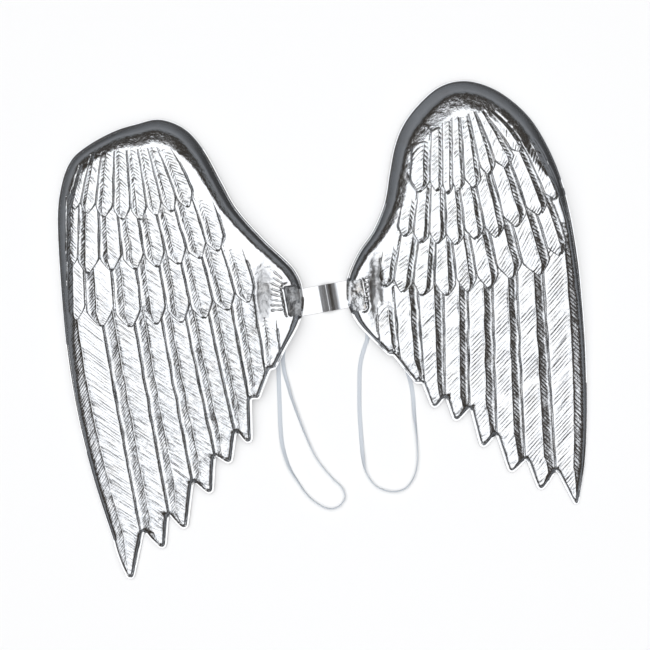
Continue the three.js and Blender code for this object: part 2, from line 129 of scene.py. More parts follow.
def giveWall(o, thickness):
    # turns an open sheet's faces up and gives it a wall below them
    if sum(p.normal.z * p.area for p in o.data.polygons) < 0:
        o.data.flip_normals()
    wall = o.modifiers.new("wall", "SOLIDIFY")
    wall.thickness = thickness * mm
    wall.offset = -1


def addGrid(columns, rows):
    clearSelection()
    bpy.ops.mesh.primitive_grid_add(x_subdivisions=columns, y_subdivisions=rows, size=1)
    return bpy.context.object


def joined(pieces, name):
    clearSelection()
    for o in pieces:
        o.select_set(True)
    bpy.context.view_layer.objects.active = pieces[0]
    bpy.ops.object.join()
    pieces[0].name = name
    pieces[0].data.name = name
    return pieces[0]


def shadeSmooth(o, degrees=None):
    makeActive(o)
    if degrees is None:
        bpy.ops.object.shade_smooth()
    else:
        bpy.ops.object.shade_smooth_by_angle(angle=math.radians(degrees))


# sizes that both wings share, in millimetres
shell = dict(
    crownDepth=24, flangeThickness=1.1, flangeWidth=1.2, flangeFall=0.4, tipFlange=1.5, wall=0.7,
    bandTilts=[(0, 72), (0.3, 64), (0.4, 56), (0.48, 40), (0.58, 32), (0.86, 27), (0.94, 18), (1, 4)],
    steepTilts=[(0, 60), (0.15, 54), (0.8, 47), (0.9, 30), (1, 0)],
    tipBulge=0.03, tipRadius=4.2, tipCut=1.2,
    # the slope along the free lower edge: its width, by millimetres from the root, and how steep it is
    # where it faces left and where it faces right
    freeEdge=[(0, 5.6), (12, 4.4), (26, 2.6), (38, 2.1), (60, 1.9)], freeSteep=(0.4, 1.25),
    freeRound=1.15, upright=0.08, steepAllRound=60,
    rootGap=37, rootLift=2.2, wholeHeight=433.6,
    # steps between the points of the outline and of the inner field, and how far in the field starts
    outlineStep=0.6, fieldStep=1.5, fieldFrom=19.4,
    # distances from the edge of the rings of points that follow it
    rings=[0.8, 1.45, 1.65, 2.1, 2.8, 3.45, 4.6, 5.8, 7, 8.3, 9.6, 11, 12.4, 13.8, 15.3, 16.8, 18.4],
    depthRows=[(0.0, 0.13), (0.12, 0.18), (0.3, 0.34), (0.5, 0.62), (0.68, 0.85), (0.85, 1.0), (1.0, 0.96)],
)
feather = dict(
    # across: slopes to both sides of the shaft, the shaft's share of the width, outer lip and inner flank
    innerSlope=0.1, outerSlope=0.33, fullWidth=19, shaftAt=0.62, crest=0.22, lip=2.4, lipDrop=0.7,
    lipRise=0.12, flankTop=0.4, flankDepth=1.1,
    # how the rows of feathers lie on each other and on the sheet
    rowStep=1.5, rowGrowth=0.25, baseSink=0.5, thickness=0.5, sheetSink=1.5, overlap=0.2,
    # the barbs' notches and the relief on them
    notch=0.17, barbDepth=0.29, barbSlant=1.05, streak=0.2, ridge=0.16, terrace=0.5, dent=0.22,
    # how bluntly the sides of short and long feathers end, and the gap that they keep to the flange
    points=(1.5, 1.25), longPoint=0.8, shortEnd=(1.2, 0.85), longEnd=(1.8, 0.65), edgeGap=0.25,
    # how much further a free end reaches, and the stretch before it where the flank fades
    wobble=0.9, reach=0.9, fadeFrom=13, fadeOver=6,
    # how far a base runs on under the row above, where the feather is full, and where it covers the sheet
    tucked=[(0.18, 0.1, 0.05), (0.36, 0.2, 0.1), (0.36, 0.2, 0.1), (0.05, 0.2, 0.12)],
    freeBase=[(0.04, 0.4, 0.34), (0.2, 0.55, 0.4), (0.2, 0.55, 0.4), (0.1, 0.5, 0.36)],
)
rib = dict(half=2.4, taper=0.6, height=0.9, rough=0.18, columns=9, rows=20)
pad = dict(
    length=26, width=11, inset=4, corner=2.5, tilt=0.18, crumple=1.0, rise=0.6, slope=0.3, groove=0.7,
    # rings of points round the pad, outside it and inside, what the sheet's points keep clear of, and the
    # points that fill it
    rings=[3.2, 2.6, 2.0, 1.4, 0.9, 0.35, 0.0, -0.35, -0.9], clear=3.5, edgeGap=1.7,
    fillFrom=1.4, fineStep=0.95, reach=22,
)
strip = dict(
    width=23.5, thickness=0.8, endInset=4, waveAt=-5.4, tilt=0.18,
    # the wave's slopes in degrees, at places in millimetres along it
    waveTilts=[(0, 0), (0.9, 16), (1.8, 24), (3.4, 23), (5, 25), (7.49, 24), (7.5, -16.5), (9.4, -17),
               (10, -20.5), (11.9, -20.5), (12.5, -16.5), (14.6, -16), (17, -9), (18.4, 0)],
)
elastic = dict(width=3.6, thickness=0.8, step=1.6, gap=0.3, hold=0.85, comesDown=10.8)

# Shares of each wing's width, out from its inner edge, and of its height, up from its lowest tip.
# edge: across, up. tips: tip across, up, then the next notch across, up.
# feathers: base across, up, tip across, up, half width at the base and further down.
# band: share of the way along the edge, width of the smooth leading band in millimetres.
# barbs, chaos, barbPitch: how deep, how uneven and how far apart the barbs are.
# outerEase, endFall: how far the outermost feathers' and the tips' outer slopes are eased.
leftWing = dict(
    side=-1, width=213, height=400, rise=0, padUp=0.604, flank=2.3, barbs=1.2, chaos=1.2, barbPitch=2.9,
    dome=4.5, bows=(-0.05, 0.1), wrinkled=1, outerEase=1, endFall=1,
    edge=[
        (0.004, 0.58), (0.0, 0.606), (0.008, 0.639), (0.029, 0.665), (0.065, 0.689), (0.172, 0.743),
        (0.274, 0.805), (0.339, 0.866), (0.409, 0.933), (0.487, 0.979), (0.589, 1.0), (0.687, 0.99),
        (0.785, 0.973), (0.896, 0.94), (0.96, 0.907), (0.998, 0.85), (1.011, 0.77), (0.993, 0.606),
        (0.967, 0.475), (0.924, 0.344), (0.861, 0.213), (0.782, 0.082),
    ],
    tips=[
        (0.71, 0.0, 0.654, 0.102), (0.577, 0.067, 0.552, 0.138), (0.487, 0.11, 0.45, 0.21),
        (0.382, 0.187, 0.36, 0.266), (0.303, 0.253, 0.274, 0.319), (0.223, 0.297, 0.213, 0.39),
        (0.184, 0.392, 0.135, 0.453), (0.117, 0.457, 0.074, 0.499),
    ],
    rear=[(0.02, 0.549)],
    band=[(0, 6), (0.07, 8.5), (0.12, 9), (0.173, 10.5), (0.205, 12.5), (0.235, 13.5), (0.265, 17),
          (0.3, 20.5), (0.339, 23.5), (0.38, 21), (0.406, 18), (0.51, 18.5), (0.54, 17), (0.57, 17),
          (0.62, 15), (0.67, 12), (0.73, 8), (0.8, 5), (1, 4)],
    steep=[(0, 0), (1, 0)],
    long=[
        (0.892, 0.571, 0.71, 0.003, 0.07, 0.06), (0.757, 0.558, 0.577, 0.07, 0.065, 0.061),
        (0.63, 0.558, 0.489, 0.114, 0.055, 0.061), (0.528, 0.562, 0.384, 0.19, 0.051, 0.055),
        (0.434, 0.569, 0.305, 0.257, 0.047, 0.051), (0.339, 0.582, 0.225, 0.3, 0.045, 0.045),
        (0.249, 0.599, 0.188, 0.396, 0.043, 0.037), (0.147, 0.58, 0.117, 0.462, 0.037, 0.029),
    ],
    rows=[
        [
            (0.941, 0.684, 0.933, 0.558, 0.029, 0.041), (0.843, 0.671, 0.826, 0.545, 0.041, 0.057),
            (0.736, 0.676, 0.708, 0.543, 0.041, 0.053), (0.638, 0.68, 0.601, 0.549, 0.041, 0.053),
            (0.548, 0.687, 0.499, 0.553, 0.041, 0.051), (0.462, 0.693, 0.405, 0.562, 0.039, 0.047),
            (0.38, 0.709, 0.307, 0.58, 0.037, 0.045), (0.294, 0.722, 0.225, 0.597, 0.033, 0.041),
        ],
        [
            (0.949, 0.807, 0.949, 0.676, 0.025, 0.025), (0.875, 0.807, 0.883, 0.66, 0.037, 0.045),
            (0.802, 0.794, 0.785, 0.667, 0.037, 0.045), (0.72, 0.789, 0.687, 0.669, 0.037, 0.045),
            (0.642, 0.794, 0.597, 0.674, 0.037, 0.045), (0.569, 0.8, 0.507, 0.68, 0.037, 0.043),
            (0.491, 0.809, 0.421, 0.693, 0.037, 0.041), (0.413, 0.824, 0.348, 0.709, 0.033, 0.039),
        ],
        [
            (0.892, 0.907, 0.941, 0.8, 0.02, 0.025), (0.847, 0.933, 0.888, 0.791, 0.025, 0.035),
            (0.798, 0.94, 0.818, 0.783, 0.025, 0.039), (0.748, 0.944, 0.74, 0.778, 0.025, 0.037),
            (0.703, 0.947, 0.667, 0.778, 0.025, 0.037), (0.663, 0.947, 0.601, 0.787, 0.025, 0.037),
            (0.626, 0.947, 0.536, 0.796, 0.025, 0.039), (0.585, 0.942, 0.47, 0.805, 0.025, 0.039),
        ],
    ],
    hollows=[(0.162, 0.612, 5.8, 24, 2.3)],
    ribs=[
        (0.142, 0.677, 0.085, 0.65), (0.145, 0.662, 0.083, 0.64), (0.15, 0.647, 0.083, 0.63),
        (0.152, 0.634, 0.083, 0.621), (0.152, 0.621, 0.083, 0.612), (0.152, 0.608, 0.083, 0.603),
        (0.152, 0.595, 0.083, 0.594), (0.15, 0.582, 0.083, 0.585),
    ],
)
rightWing = dict(
    side=1, width=210, height=369, rise=64.6, padUp=0.492, flank=1.5, barbs=1.4, chaos=0.5, barbPitch=3.6,
    dome=2.5, bows=(0.0, 0.1), wrinkled=0.5, outerEase=0.62, endFall=0.3,
    edge=[
        (0.002, 0.475), (0.0, 0.505), (0.006, 0.541), (0.048, 0.595), (0.11, 0.647), (0.156, 0.711),
        (0.176, 0.778), (0.197, 0.841), (0.23, 0.891), (0.288, 0.938), (0.376, 0.983), (0.471, 1.0),
        (0.571, 0.991), (0.67, 0.961), (0.766, 0.91), (0.84, 0.841), (0.894, 0.766), (0.932, 0.683),
        (0.961, 0.588), (0.977, 0.505), (0.994, 0.375), (1.0, 0.228), (0.992, 0.103), (0.969, 0.015),
    ],
    tips=[
        (0.954, 0.0, 0.871, 0.079), (0.807, 0.036, 0.747, 0.105), (0.683, 0.078, 0.62, 0.164),
        (0.566, 0.137, 0.512, 0.226), (0.454, 0.199, 0.409, 0.252), (0.363, 0.23, 0.313, 0.285),
        (0.288, 0.286, 0.191, 0.351), (0.176, 0.351, 0.098, 0.392),
    ],
    rear=[(0.035, 0.43)],
    band=[(0, 5), (0.04, 7), (0.07, 9), (0.11, 12), (0.15, 15.5), (0.19, 17.5), (0.22, 20), (0.29, 27),
          (0.36, 28), (0.43, 27), (0.48, 26), (0.53, 20), (0.57, 10), (0.62, 7), (0.72, 5.5),
          (0.8, 5), (1, 4)],
    steep=[(0.53, 0), (0.58, 1), (0.7, 1), (0.8, 0)],
    long=[
        (0.869, 0.588, 0.954, 0.004, 0.054, 0.062), (0.761, 0.548, 0.807, 0.039, 0.054, 0.056),
        (0.658, 0.529, 0.685, 0.082, 0.05, 0.052), (0.554, 0.512, 0.566, 0.141, 0.05, 0.052),
        (0.454, 0.503, 0.456, 0.202, 0.05, 0.05), (0.351, 0.498, 0.363, 0.233, 0.05, 0.048),
        (0.247, 0.493, 0.288, 0.29, 0.046, 0.041), (0.156, 0.493, 0.172, 0.359, 0.037, 0.033),
    ],
    rows=[
        [
            (0.185, 0.605, 0.156, 0.51, 0.033, 0.029), (0.255, 0.609, 0.23, 0.496, 0.033, 0.037),
            (0.338, 0.607, 0.309, 0.489, 0.033, 0.037), (0.405, 0.607, 0.417, 0.489, 0.033, 0.041),
            (0.475, 0.614, 0.504, 0.498, 0.033, 0.044), (0.554, 0.624, 0.595, 0.505, 0.035, 0.046),
            (0.637, 0.636, 0.683, 0.529, 0.037, 0.046), (0.737, 0.671, 0.803, 0.538, 0.037, 0.046),
            (0.824, 0.699, 0.89, 0.583, 0.031, 0.037),
        ],
        [
            (0.263, 0.718, 0.239, 0.628, 0.033, 0.029), (0.322, 0.728, 0.309, 0.612, 0.029, 0.029),
            (0.38, 0.725, 0.376, 0.612, 0.029, 0.033), (0.438, 0.73, 0.454, 0.609, 0.029, 0.035),
            (0.504, 0.742, 0.537, 0.621, 0.031, 0.037), (0.566, 0.766, 0.624, 0.626, 0.033, 0.039),
            (0.637, 0.785, 0.707, 0.652, 0.033, 0.041), (0.707, 0.822, 0.807, 0.68, 0.029, 0.037),
            (0.774, 0.832, 0.869, 0.718, 0.025, 0.029),
        ],
        [
            (0.305, 0.865, 0.301, 0.733, 0.037, 0.041), (0.376, 0.903, 0.376, 0.735, 0.021, 0.029),
            (0.417, 0.917, 0.421, 0.728, 0.021, 0.025), (0.454, 0.927, 0.459, 0.737, 0.019, 0.025),
            (0.492, 0.927, 0.529, 0.744, 0.021, 0.033), (0.512, 0.936, 0.591, 0.775, 0.021, 0.033),
            (0.546, 0.936, 0.666, 0.792, 0.021, 0.033), (0.582, 0.927, 0.722, 0.832, 0.019, 0.022),
        ],
    ],
    hollows=[(0.123, 0.505, 4.8, 23, 3)],
    ribs=[
        (0.1, 0.538, 0.074, 0.533), (0.098, 0.526, 0.074, 0.522), (0.096, 0.514, 0.074, 0.511),
        (0.095, 0.502, 0.074, 0.5), (0.095, 0.49, 0.074, 0.489), (0.096, 0.478, 0.074, 0.478),
    ],
)

# the elastic loops' routes: x, y in millimetres and turn, 0 flat and 90 on edge
leftLoopRoute = [
    (-23.1, 24.7, 0), (-26.6, 14.2, 0), (-31.0, 1.1, 0), (-34.0, -13.7, 0), (-35.4, -25.1, 5),
    (-34.3, -36.4, 24), (-31.0, -48.7, 42), (-27.5, -60.9, 56), (-18.8, -84.5, 72), (-10.9, -103.3, 82),
    (-4.2, -115.5, 88), (6.9, -129.0, 90), (15.8, -137.7, 90), (18.6, -144.4, 90), (18.1, -148.9, 90),
    (13.5, -154.5, 90), (5.8, -156.7, 90), (-3.1, -153.4, 90), (-13.1, -145.6, 88), (-22.0, -133.4, 76),
    (-29.9, -120.0, 55), (-35.4, -103.3, 30), (-37.5, -86.2, 14), (-38.2, -69.6, 5), (-38.8, -53.0, 0),
    (-39.3, -36.4, 0), (-39.7, -25.1, 0), (-38.4, -12.0, 0), (-35.4, 2.0, 0), (-31.9, 14.2, 0),
    (-28.8, 24.7, 0),
]
rightLoopRoute = [
    (25.8, 28.2, 0), (31.0, 16.8, 0), (36.2, 4.6, 0), (38.4, -6.8, 0), (36.2, -14.6, 0),
    (33.6, -23.1, 5), (31.9, -32.1, 0), (31.4, -42.0, 0), (31.3, -55.7, 0), (31.4, -69.9, 0),
    (32.1, -83.6, 4), (33.1, -97.6, 14), (34.7, -114.1, 45), (37.1, -124.6, 84), (42.5, -133.4, 90),
    (49.3, -138.9, 90), (60.4, -141.7, 90), (70.3, -139.5, 90), (76.4, -133.4, 90), (80.4, -124.6, 90),
    (82.1, -112.4, 88), (81.6, -97.6, 80), (80.6, -86.2, 62), (79.3, -75.5, 38), (78.1, -58.7, 8),
    (76.0, -46.5, 0), (72.0, -33.8, 0), (65.0, -19.0, 0), (55.4, -4.1, 0), (44.1, 10.7, 0),
    (31.9, 28.2, 0),
]


def addLoop(name, node, route, s):
    # one flat ribbon that follows the route and turns from its face to its edge
    line = evenly(smoothLine(route), s["step"])
    along = np.linspace(0, 1, len(line)) * s["step"] * (len(line) - 1)
    direction = np.gradient(line[:, :2], axis=0)
    direction /= np.linalg.norm(direction, axis=1)[:, None]
    side = np.stack([-direction[:, 1], direction[:, 0]], axis=1)
    turn = np.radians(line[:, 2])
    halfWidth, halfThickness = s["width"] / 2, s["thickness"] / 2
    fromEnd = np.minimum(along, along[-1] - along)
    overStrip = strip["thickness"] + s["gap"]
    held = s["hold"] * strip["width"]
    lifted = np.clip((held + s["comesDown"] - fromEnd) / s["comesDown"], 0, 1) * overStrip
    bed = halfWidth * np.abs(np.sin(turn)) + halfThickness * np.abs(np.cos(turn)) + lifted
    corner = halfThickness * 0.8
    section = []
    for cx, sign in ((halfWidth - corner, 1), (-halfWidth + corner, -1)):
        for a in np.radians(np.linspace(-90, 90, 5)):
            section.append((cx + sign * corner * math.cos(a), sign * halfThickness * math.sin(a)))
    section = np.array(section)
    rings = []
    for i in range(len(line)):
        out = section[:, 0] * math.cos(turn[i]) - section[:, 1] * math.sin(turn[i])
        up = section[:, 0] * math.sin(turn[i]) + section[:, 1] * math.cos(turn[i])
        x, y = line[i, 0] + side[i, 0] * out, line[i, 1] + side[i, 1] * out
        rings.append(np.column_stack([x, y, bed[i] + up]))
    points = np.vstack(rings) * mm
    n = len(section)
    faces = []
    for i in range(len(line) - 1):
        for k in range(n):
            faces.append((i * n + k, (i + 1) * n + k, (i + 1) * n + (k + 1) % n, i * n + (k + 1) % n))
    faces.append(tuple(range(n)))
    faces.append(tuple(range(len(points) - 1, len(points) - n - 1, -1)))
    o = newMesh(name, points, faces)
    uv = o.data.uv_layers.new(name="weave")
    wide = np.concatenate([[0], np.cumsum(np.linalg.norm(np.diff(section, axis=0), axis=1))])
    for polygon in o.data.polygons:
        for loop in polygon.loop_indices:
            v = o.data.loops[loop].vertex_index
            uv.data[loop].uv = (along[v // n] * mm, wide[v % n] * mm)
    turnFacesOut(o)
    shadeSmooth(o, 40)
    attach(o, "root")
    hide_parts(node)
    return o


loopLeft = addLoop("arm_loop_left", "elastic_left", leftLoopRoute, elastic)
loopRight = addLoop("arm_loop_right", "elastic_right", rightLoopRoute, elastic)


def rollForm(tilts):
    # how high the leading band has risen at each share of its width, from its tilts in degrees
    at = np.linspace(0, 1, 101)
    slope = np.tan(np.radians(np.interp(at, *np.array(tilts).T)))
    height = np.concatenate([[0], np.cumsum((slope[1:] + slope[:-1]) / 2)])
    return at, height / height[-1]


bandForm = rollForm(shell["bandTilts"])
steepForm = rollForm(shell["steepTilts"])


def crinkle(points, size, seed=0):
    # smooth noise from -1 to 1 at places given in millimetres
    return np.array([noise.noise((p[0] / size, p[1] / size, seed)) for p in points])


# a wing's own frame: x out from the inner edge, y up from the lowest tip, in millimetres
class WingShape:
    def __init__(self, wing):
        self.wing = wing
        scale = np.array([wing["width"], wing["height"]])
        self.scale = scale
        leading = smoothLine(np.array(wing["edge"]) * scale, 10)
        points = list(leading)
        for row in wing["tips"]:
            start = np.array(points[-1])
            tip, notch = np.array(row[:2]) * scale, np.array(row[2:]) * scale
            run, back = tip - start, notch - tip
            one, two = run / np.linalg.norm(run), -back / np.linalg.norm(back)
            ahead = (one + two) / np.linalg.norm(one + two)
            radius = min(shell["tipRadius"], 0.45 * np.linalg.norm(run))
            middle = tip + ahead * radius * (shell["tipCut"] / shell["tipRadius"] - 1)
            # both sides are straight and touch the tip's arc: the arc starts and ends where they do
            came, goes = middle - start, notch - middle
            first = math.atan2(came[1], came[0]) + math.pi / 2 + math.asin(radius / np.linalg.norm(came))
            last = math.atan2(goes[1], goes[0]) + math.acos(radius / np.linalg.norm(goes))
            last = first - (first - last) % (2 * math.pi)
            turns = np.linspace(first, last, 7)
            arc = [middle + radius * np.array([math.cos(a), math.sin(a)]) for a in turns]
            run, back = arc[0] - start, notch - arc[-1]
            outwards = np.array([-run[1], run[0]]) * shell["tipBulge"]
            points += [start + run * k + outwards * 4 * k * (1 - k) for k in (0.12, 0.3, 0.6)]
            points += arc + [arc[-1] + back * k for k in (0.5, 0.86, 1)]
        points += [np.array(p) * scale for p in wing["rear"]]
        closed = roundCorners(np.array(points))
        closed = np.vstack([closed, closed[:1]])
        self.outline = evenly(closed, shell["outlineStep"])[:-1]
        leadEnd = leading[-1]
        self.leadCount = int(np.argmin(np.linalg.norm(self.outline - leadEnd, axis=1)))
        beyond = np.clip((np.arange(len(self.outline)) - self.leadCount) / 6, 0, 1)[:, None]
        spread = sum(np.roll(self.outline, k, axis=0) for k in range(-2, 3)) / 5
        self.outline = self.outline * (1 - beyond) + spread * beyond
        run = np.roll(self.outline, -1, axis=0) - np.roll(self.outline, 1, axis=0)
        self.facing = -wing["side"] * run[:, 1] / np.linalg.norm(run, axis=1)  # from -1, left, to 1, right
        self.tree = KDTree(len(self.outline))
        for i, p in enumerate(self.outline):
            self.tree.insert((p[0], p[1], 0), i)
        self.tree.balance()

    def nearest(self, xy):
        # how far places are from the outline, and which of its points is nearest
        found = [self.tree.find((p[0], p[1], 0)) for p in xy]
        index = np.array([f[1] for f in found])
        a = self.outline[index]
        best = np.full(len(xy), 1e9)
        for other in (self.outline[(index + 1) % len(self.outline)], self.outline[index - 1]):
            run = other - a
            t = np.clip(((xy - a) * run).sum(1) / (run * run).sum(1), 0, 1)
            best = np.minimum(best, np.linalg.norm(xy - a - run * t[:, None], axis=1))
        return best, index

    def height(self, xy):
        # how high the sheet is at places; it also notes how far in the band and in a hollow they lie
        xy = np.asarray(xy, float)
        distance, index = self.nearest(xy)
        up = np.clip(xy[:, 1] / self.wing["height"], 0, 1)
        rows = np.array(shell["depthRows"])
        top = shell["crownDepth"] * np.interp(up, rows[:, 0], rows[:, 1])
        band = np.array(self.wing["band"])
        wide = np.interp(index / self.leadCount, band[:, 0], band[:, 1])
        edgeAt = index * shell["outlineStep"]
        edgeLine = np.column_stack([edgeAt, edgeAt * 0])
        waver = crinkle(edgeLine, 21, 31) + 0.5 * crinkle(edgeLine, 6, 32)
        wide = np.minimum(wide * (1 + 0.09 * waver), 1.1 * top + shell["flangeWidth"])
        toRoot = (len(self.outline) - index) * shell["outlineStep"]
        free = np.interp(toRoot, *np.array(shell["freeEdge"]).T)
        full = np.where(index <= self.leadCount, wide, np.minimum(free, top - shell["flangeThickness"]))
        along = index / self.leadCount
        flange = np.where(along <= 1, shell["flangeWidth"], shell["tipFlange"])
        share = np.clip((distance - flange) / full, 0, 1)
        steep = np.interp(along, *np.array(self.wing["steep"]).T)
        rolled = np.interp(share, *bandForm) * (1 - steep) + np.interp(share, *steepForm) * steep
        # the free edge: a short upright step, then a slope that rounds off at the top
        gentle, steeper = shell["freeSteep"]
        # near the root it is steep all round
        facing = self.facing[index] + 2 * np.clip((shell["steepAllRound"] - toRoot) / 20, 0, 1)
        steepness = np.interp(facing, (-0.4, 0.3), (gentle, steeper))
        step = np.clip(1 - full * steepness / np.maximum(top - shell["flangeThickness"], 0.5), 0, 1)
        rounded = 1 - (1 - share) ** shell["freeRound"]
        sloped = step * np.clip(share / shell["upright"], 0, 1) + (1 - step) * rounded
        form = np.where(along <= 1, rolled, sloped)
        self.bandShare = np.where(index <= self.leadCount, share, 0)
        outer = np.clip((xy[:, 0] / self.wing["width"] - 0.74) / 0.24, 0, 1)
        dome = self.wing["dome"] * outer ** 2 * np.clip((top - 6) / 10, 0, 1)
        # the flange leans outwards, but lies flat beside the root and the tips
        leaning = np.interp(along, (0.2, 0.27, 0.93, 1), (0, 1, 1, 0))
        fall = shell["flangeFall"] * leaning * np.clip(1 - distance / flange, 0, 1)
        z = shell["flangeThickness"] - fall + (top - dome - shell["flangeThickness"]) * form
        self.hollowed = np.zeros(len(xy))
        for x, upAt, wide, high, deep in self.wing["hollows"]:
            away = (xy - np.array([x, upAt]) * self.scale) / np.array([wide, high])
            inside = np.exp(-(away ** 2).sum(1) * (1 + 0.25 * crinkle(xy, 5, 21)))
            self.hollowed += inside
            z -= inside * deep * (1 + 0.36 * crinkle(xy, 3.4, 22) + 0.2 * crinkle(xy, 1.8, 23))
        return z

    def room(self, point, direction):
        # how far the outline is from a point in one direction
        a = self.outline
        run = np.roll(a, -1, axis=0) - a
        gap = a - point
        turn = direction[0] * run[:, 1] - direction[1] * run[:, 0]
        turn = np.where(np.abs(turn) < 1e-9, 1e-9, turn)
        share = (gap[:, 0] * direction[1] - gap[:, 1] * direction[0]) / turn
        far = (gap[:, 0] * run[:, 1] - gap[:, 1] * run[:, 0]) / turn
        good = (share >= 0) & (share <= 1) & (far > 0)
        return far[good].min() if good.any() else 0.0

    def settled(self, row):
        # moves places read off at the floor's scale to where they are at the sheet's height
        out = list(row)
        for k in (0, 2):
            x, y = np.array(row[k:k + 2]) * self.scale
            away = self.height([(x, y)])[0] / cameraSettings["height"]
            x -= (x + shell["rootGap"] / 2) * away
            y -= (y + self.wing["rise"] - shell["wholeHeight"] / 2 - cameraSettings["middle"][1]) * away
            out[k:k + 2] = x / self.scale[0], y / self.scale[1]
        return out

    def toWorld(self, points):
        # turns the wing's own millimetres into the frame's metres, with the lean on the outer edge
        wing = self.wing
        lean = math.asin(shell["rootLift"] / wing["width"])
        x, y, z = points[:, 0], points[:, 1], points[:, 2]
        across = x * math.cos(lean) + z * math.sin(lean)
        up = z * math.cos(lean) - x * math.sin(lean) + shell["rootLift"]
        middle = (leftWing["width"] - rightWing["width"]) / 2
        worldX = middle + wing["side"] * (shell["rootGap"] / 2 + across)
        worldY = y + wing["rise"] - shell["wholeHeight"] / 2
        return np.column_stack([worldX, worldY, up]) * mm


def padFrame(shape):
    # the pad's middle, its turn, and half its sizes up to where its corners start
    wing = shape.wing
    middle = np.array([pad["inset"] + pad["width"] / 2, wing["padUp"] * wing["height"]])
    half = np.array([pad["width"] / 2, pad["length"] / 2]) - pad["corner"]
    return middle, wing["side"] * pad["tilt"], half


def turned(points, angle):
    c, s = math.cos(angle), math.sin(angle)
    return np.column_stack([points[:, 0] * c - points[:, 1] * s, points[:, 0] * s + points[:, 1] * c])


def padDistance(shape, xy):
    # how far each place lies inside the sunken pad, less than nothing outside it
    middle, turn, half = padFrame(shape)
    q = np.abs(turned(xy - middle, -turn)) - half
    outside = np.linalg.norm(np.maximum(q, 0), axis=1) + np.minimum(np.max(q, axis=1), 0) - pad["corner"]
    return -outside


def padRing(shape, offset, step=0.9):
    # the pad's rounded outline, grown by an offset
    middle, turn, half = padFrame(shape)
    radius = pad["corner"] + offset
    points = []
    for sx, sy, start in ((1, 1, 0), (-1, 1, 90), (-1, -1, 180), (1, -1, 270)):
        for a in np.radians(np.linspace(start, start + 90, 5)):
            points.append((sx * half[0] + radius * math.cos(a), sy * half[1] + radius * math.sin(a)))
    points = np.array(points + points[:1])
    return middle + turned(evenly(points, step)[:-1], turn)


# the foil's crinkles in millimetres: height, size and seed of each layer, everywhere, near the root and in
# the inner part of the leading band, then the height of the pleats near the root and of the band's fibres
foil = dict(
    whole=[(0.16, 7, 11), (0.08, 2.8, 12)], root=[(0.3, 3.6, 51)], band=[(0.16, 2.2, 13), (0.2, 5, 14)],
    pleat=0.25, fibre=0.3,
)


def crinkled(layers, places):
    return sum(high * crinkle(places, size, seed) for high, size, seed in layers)


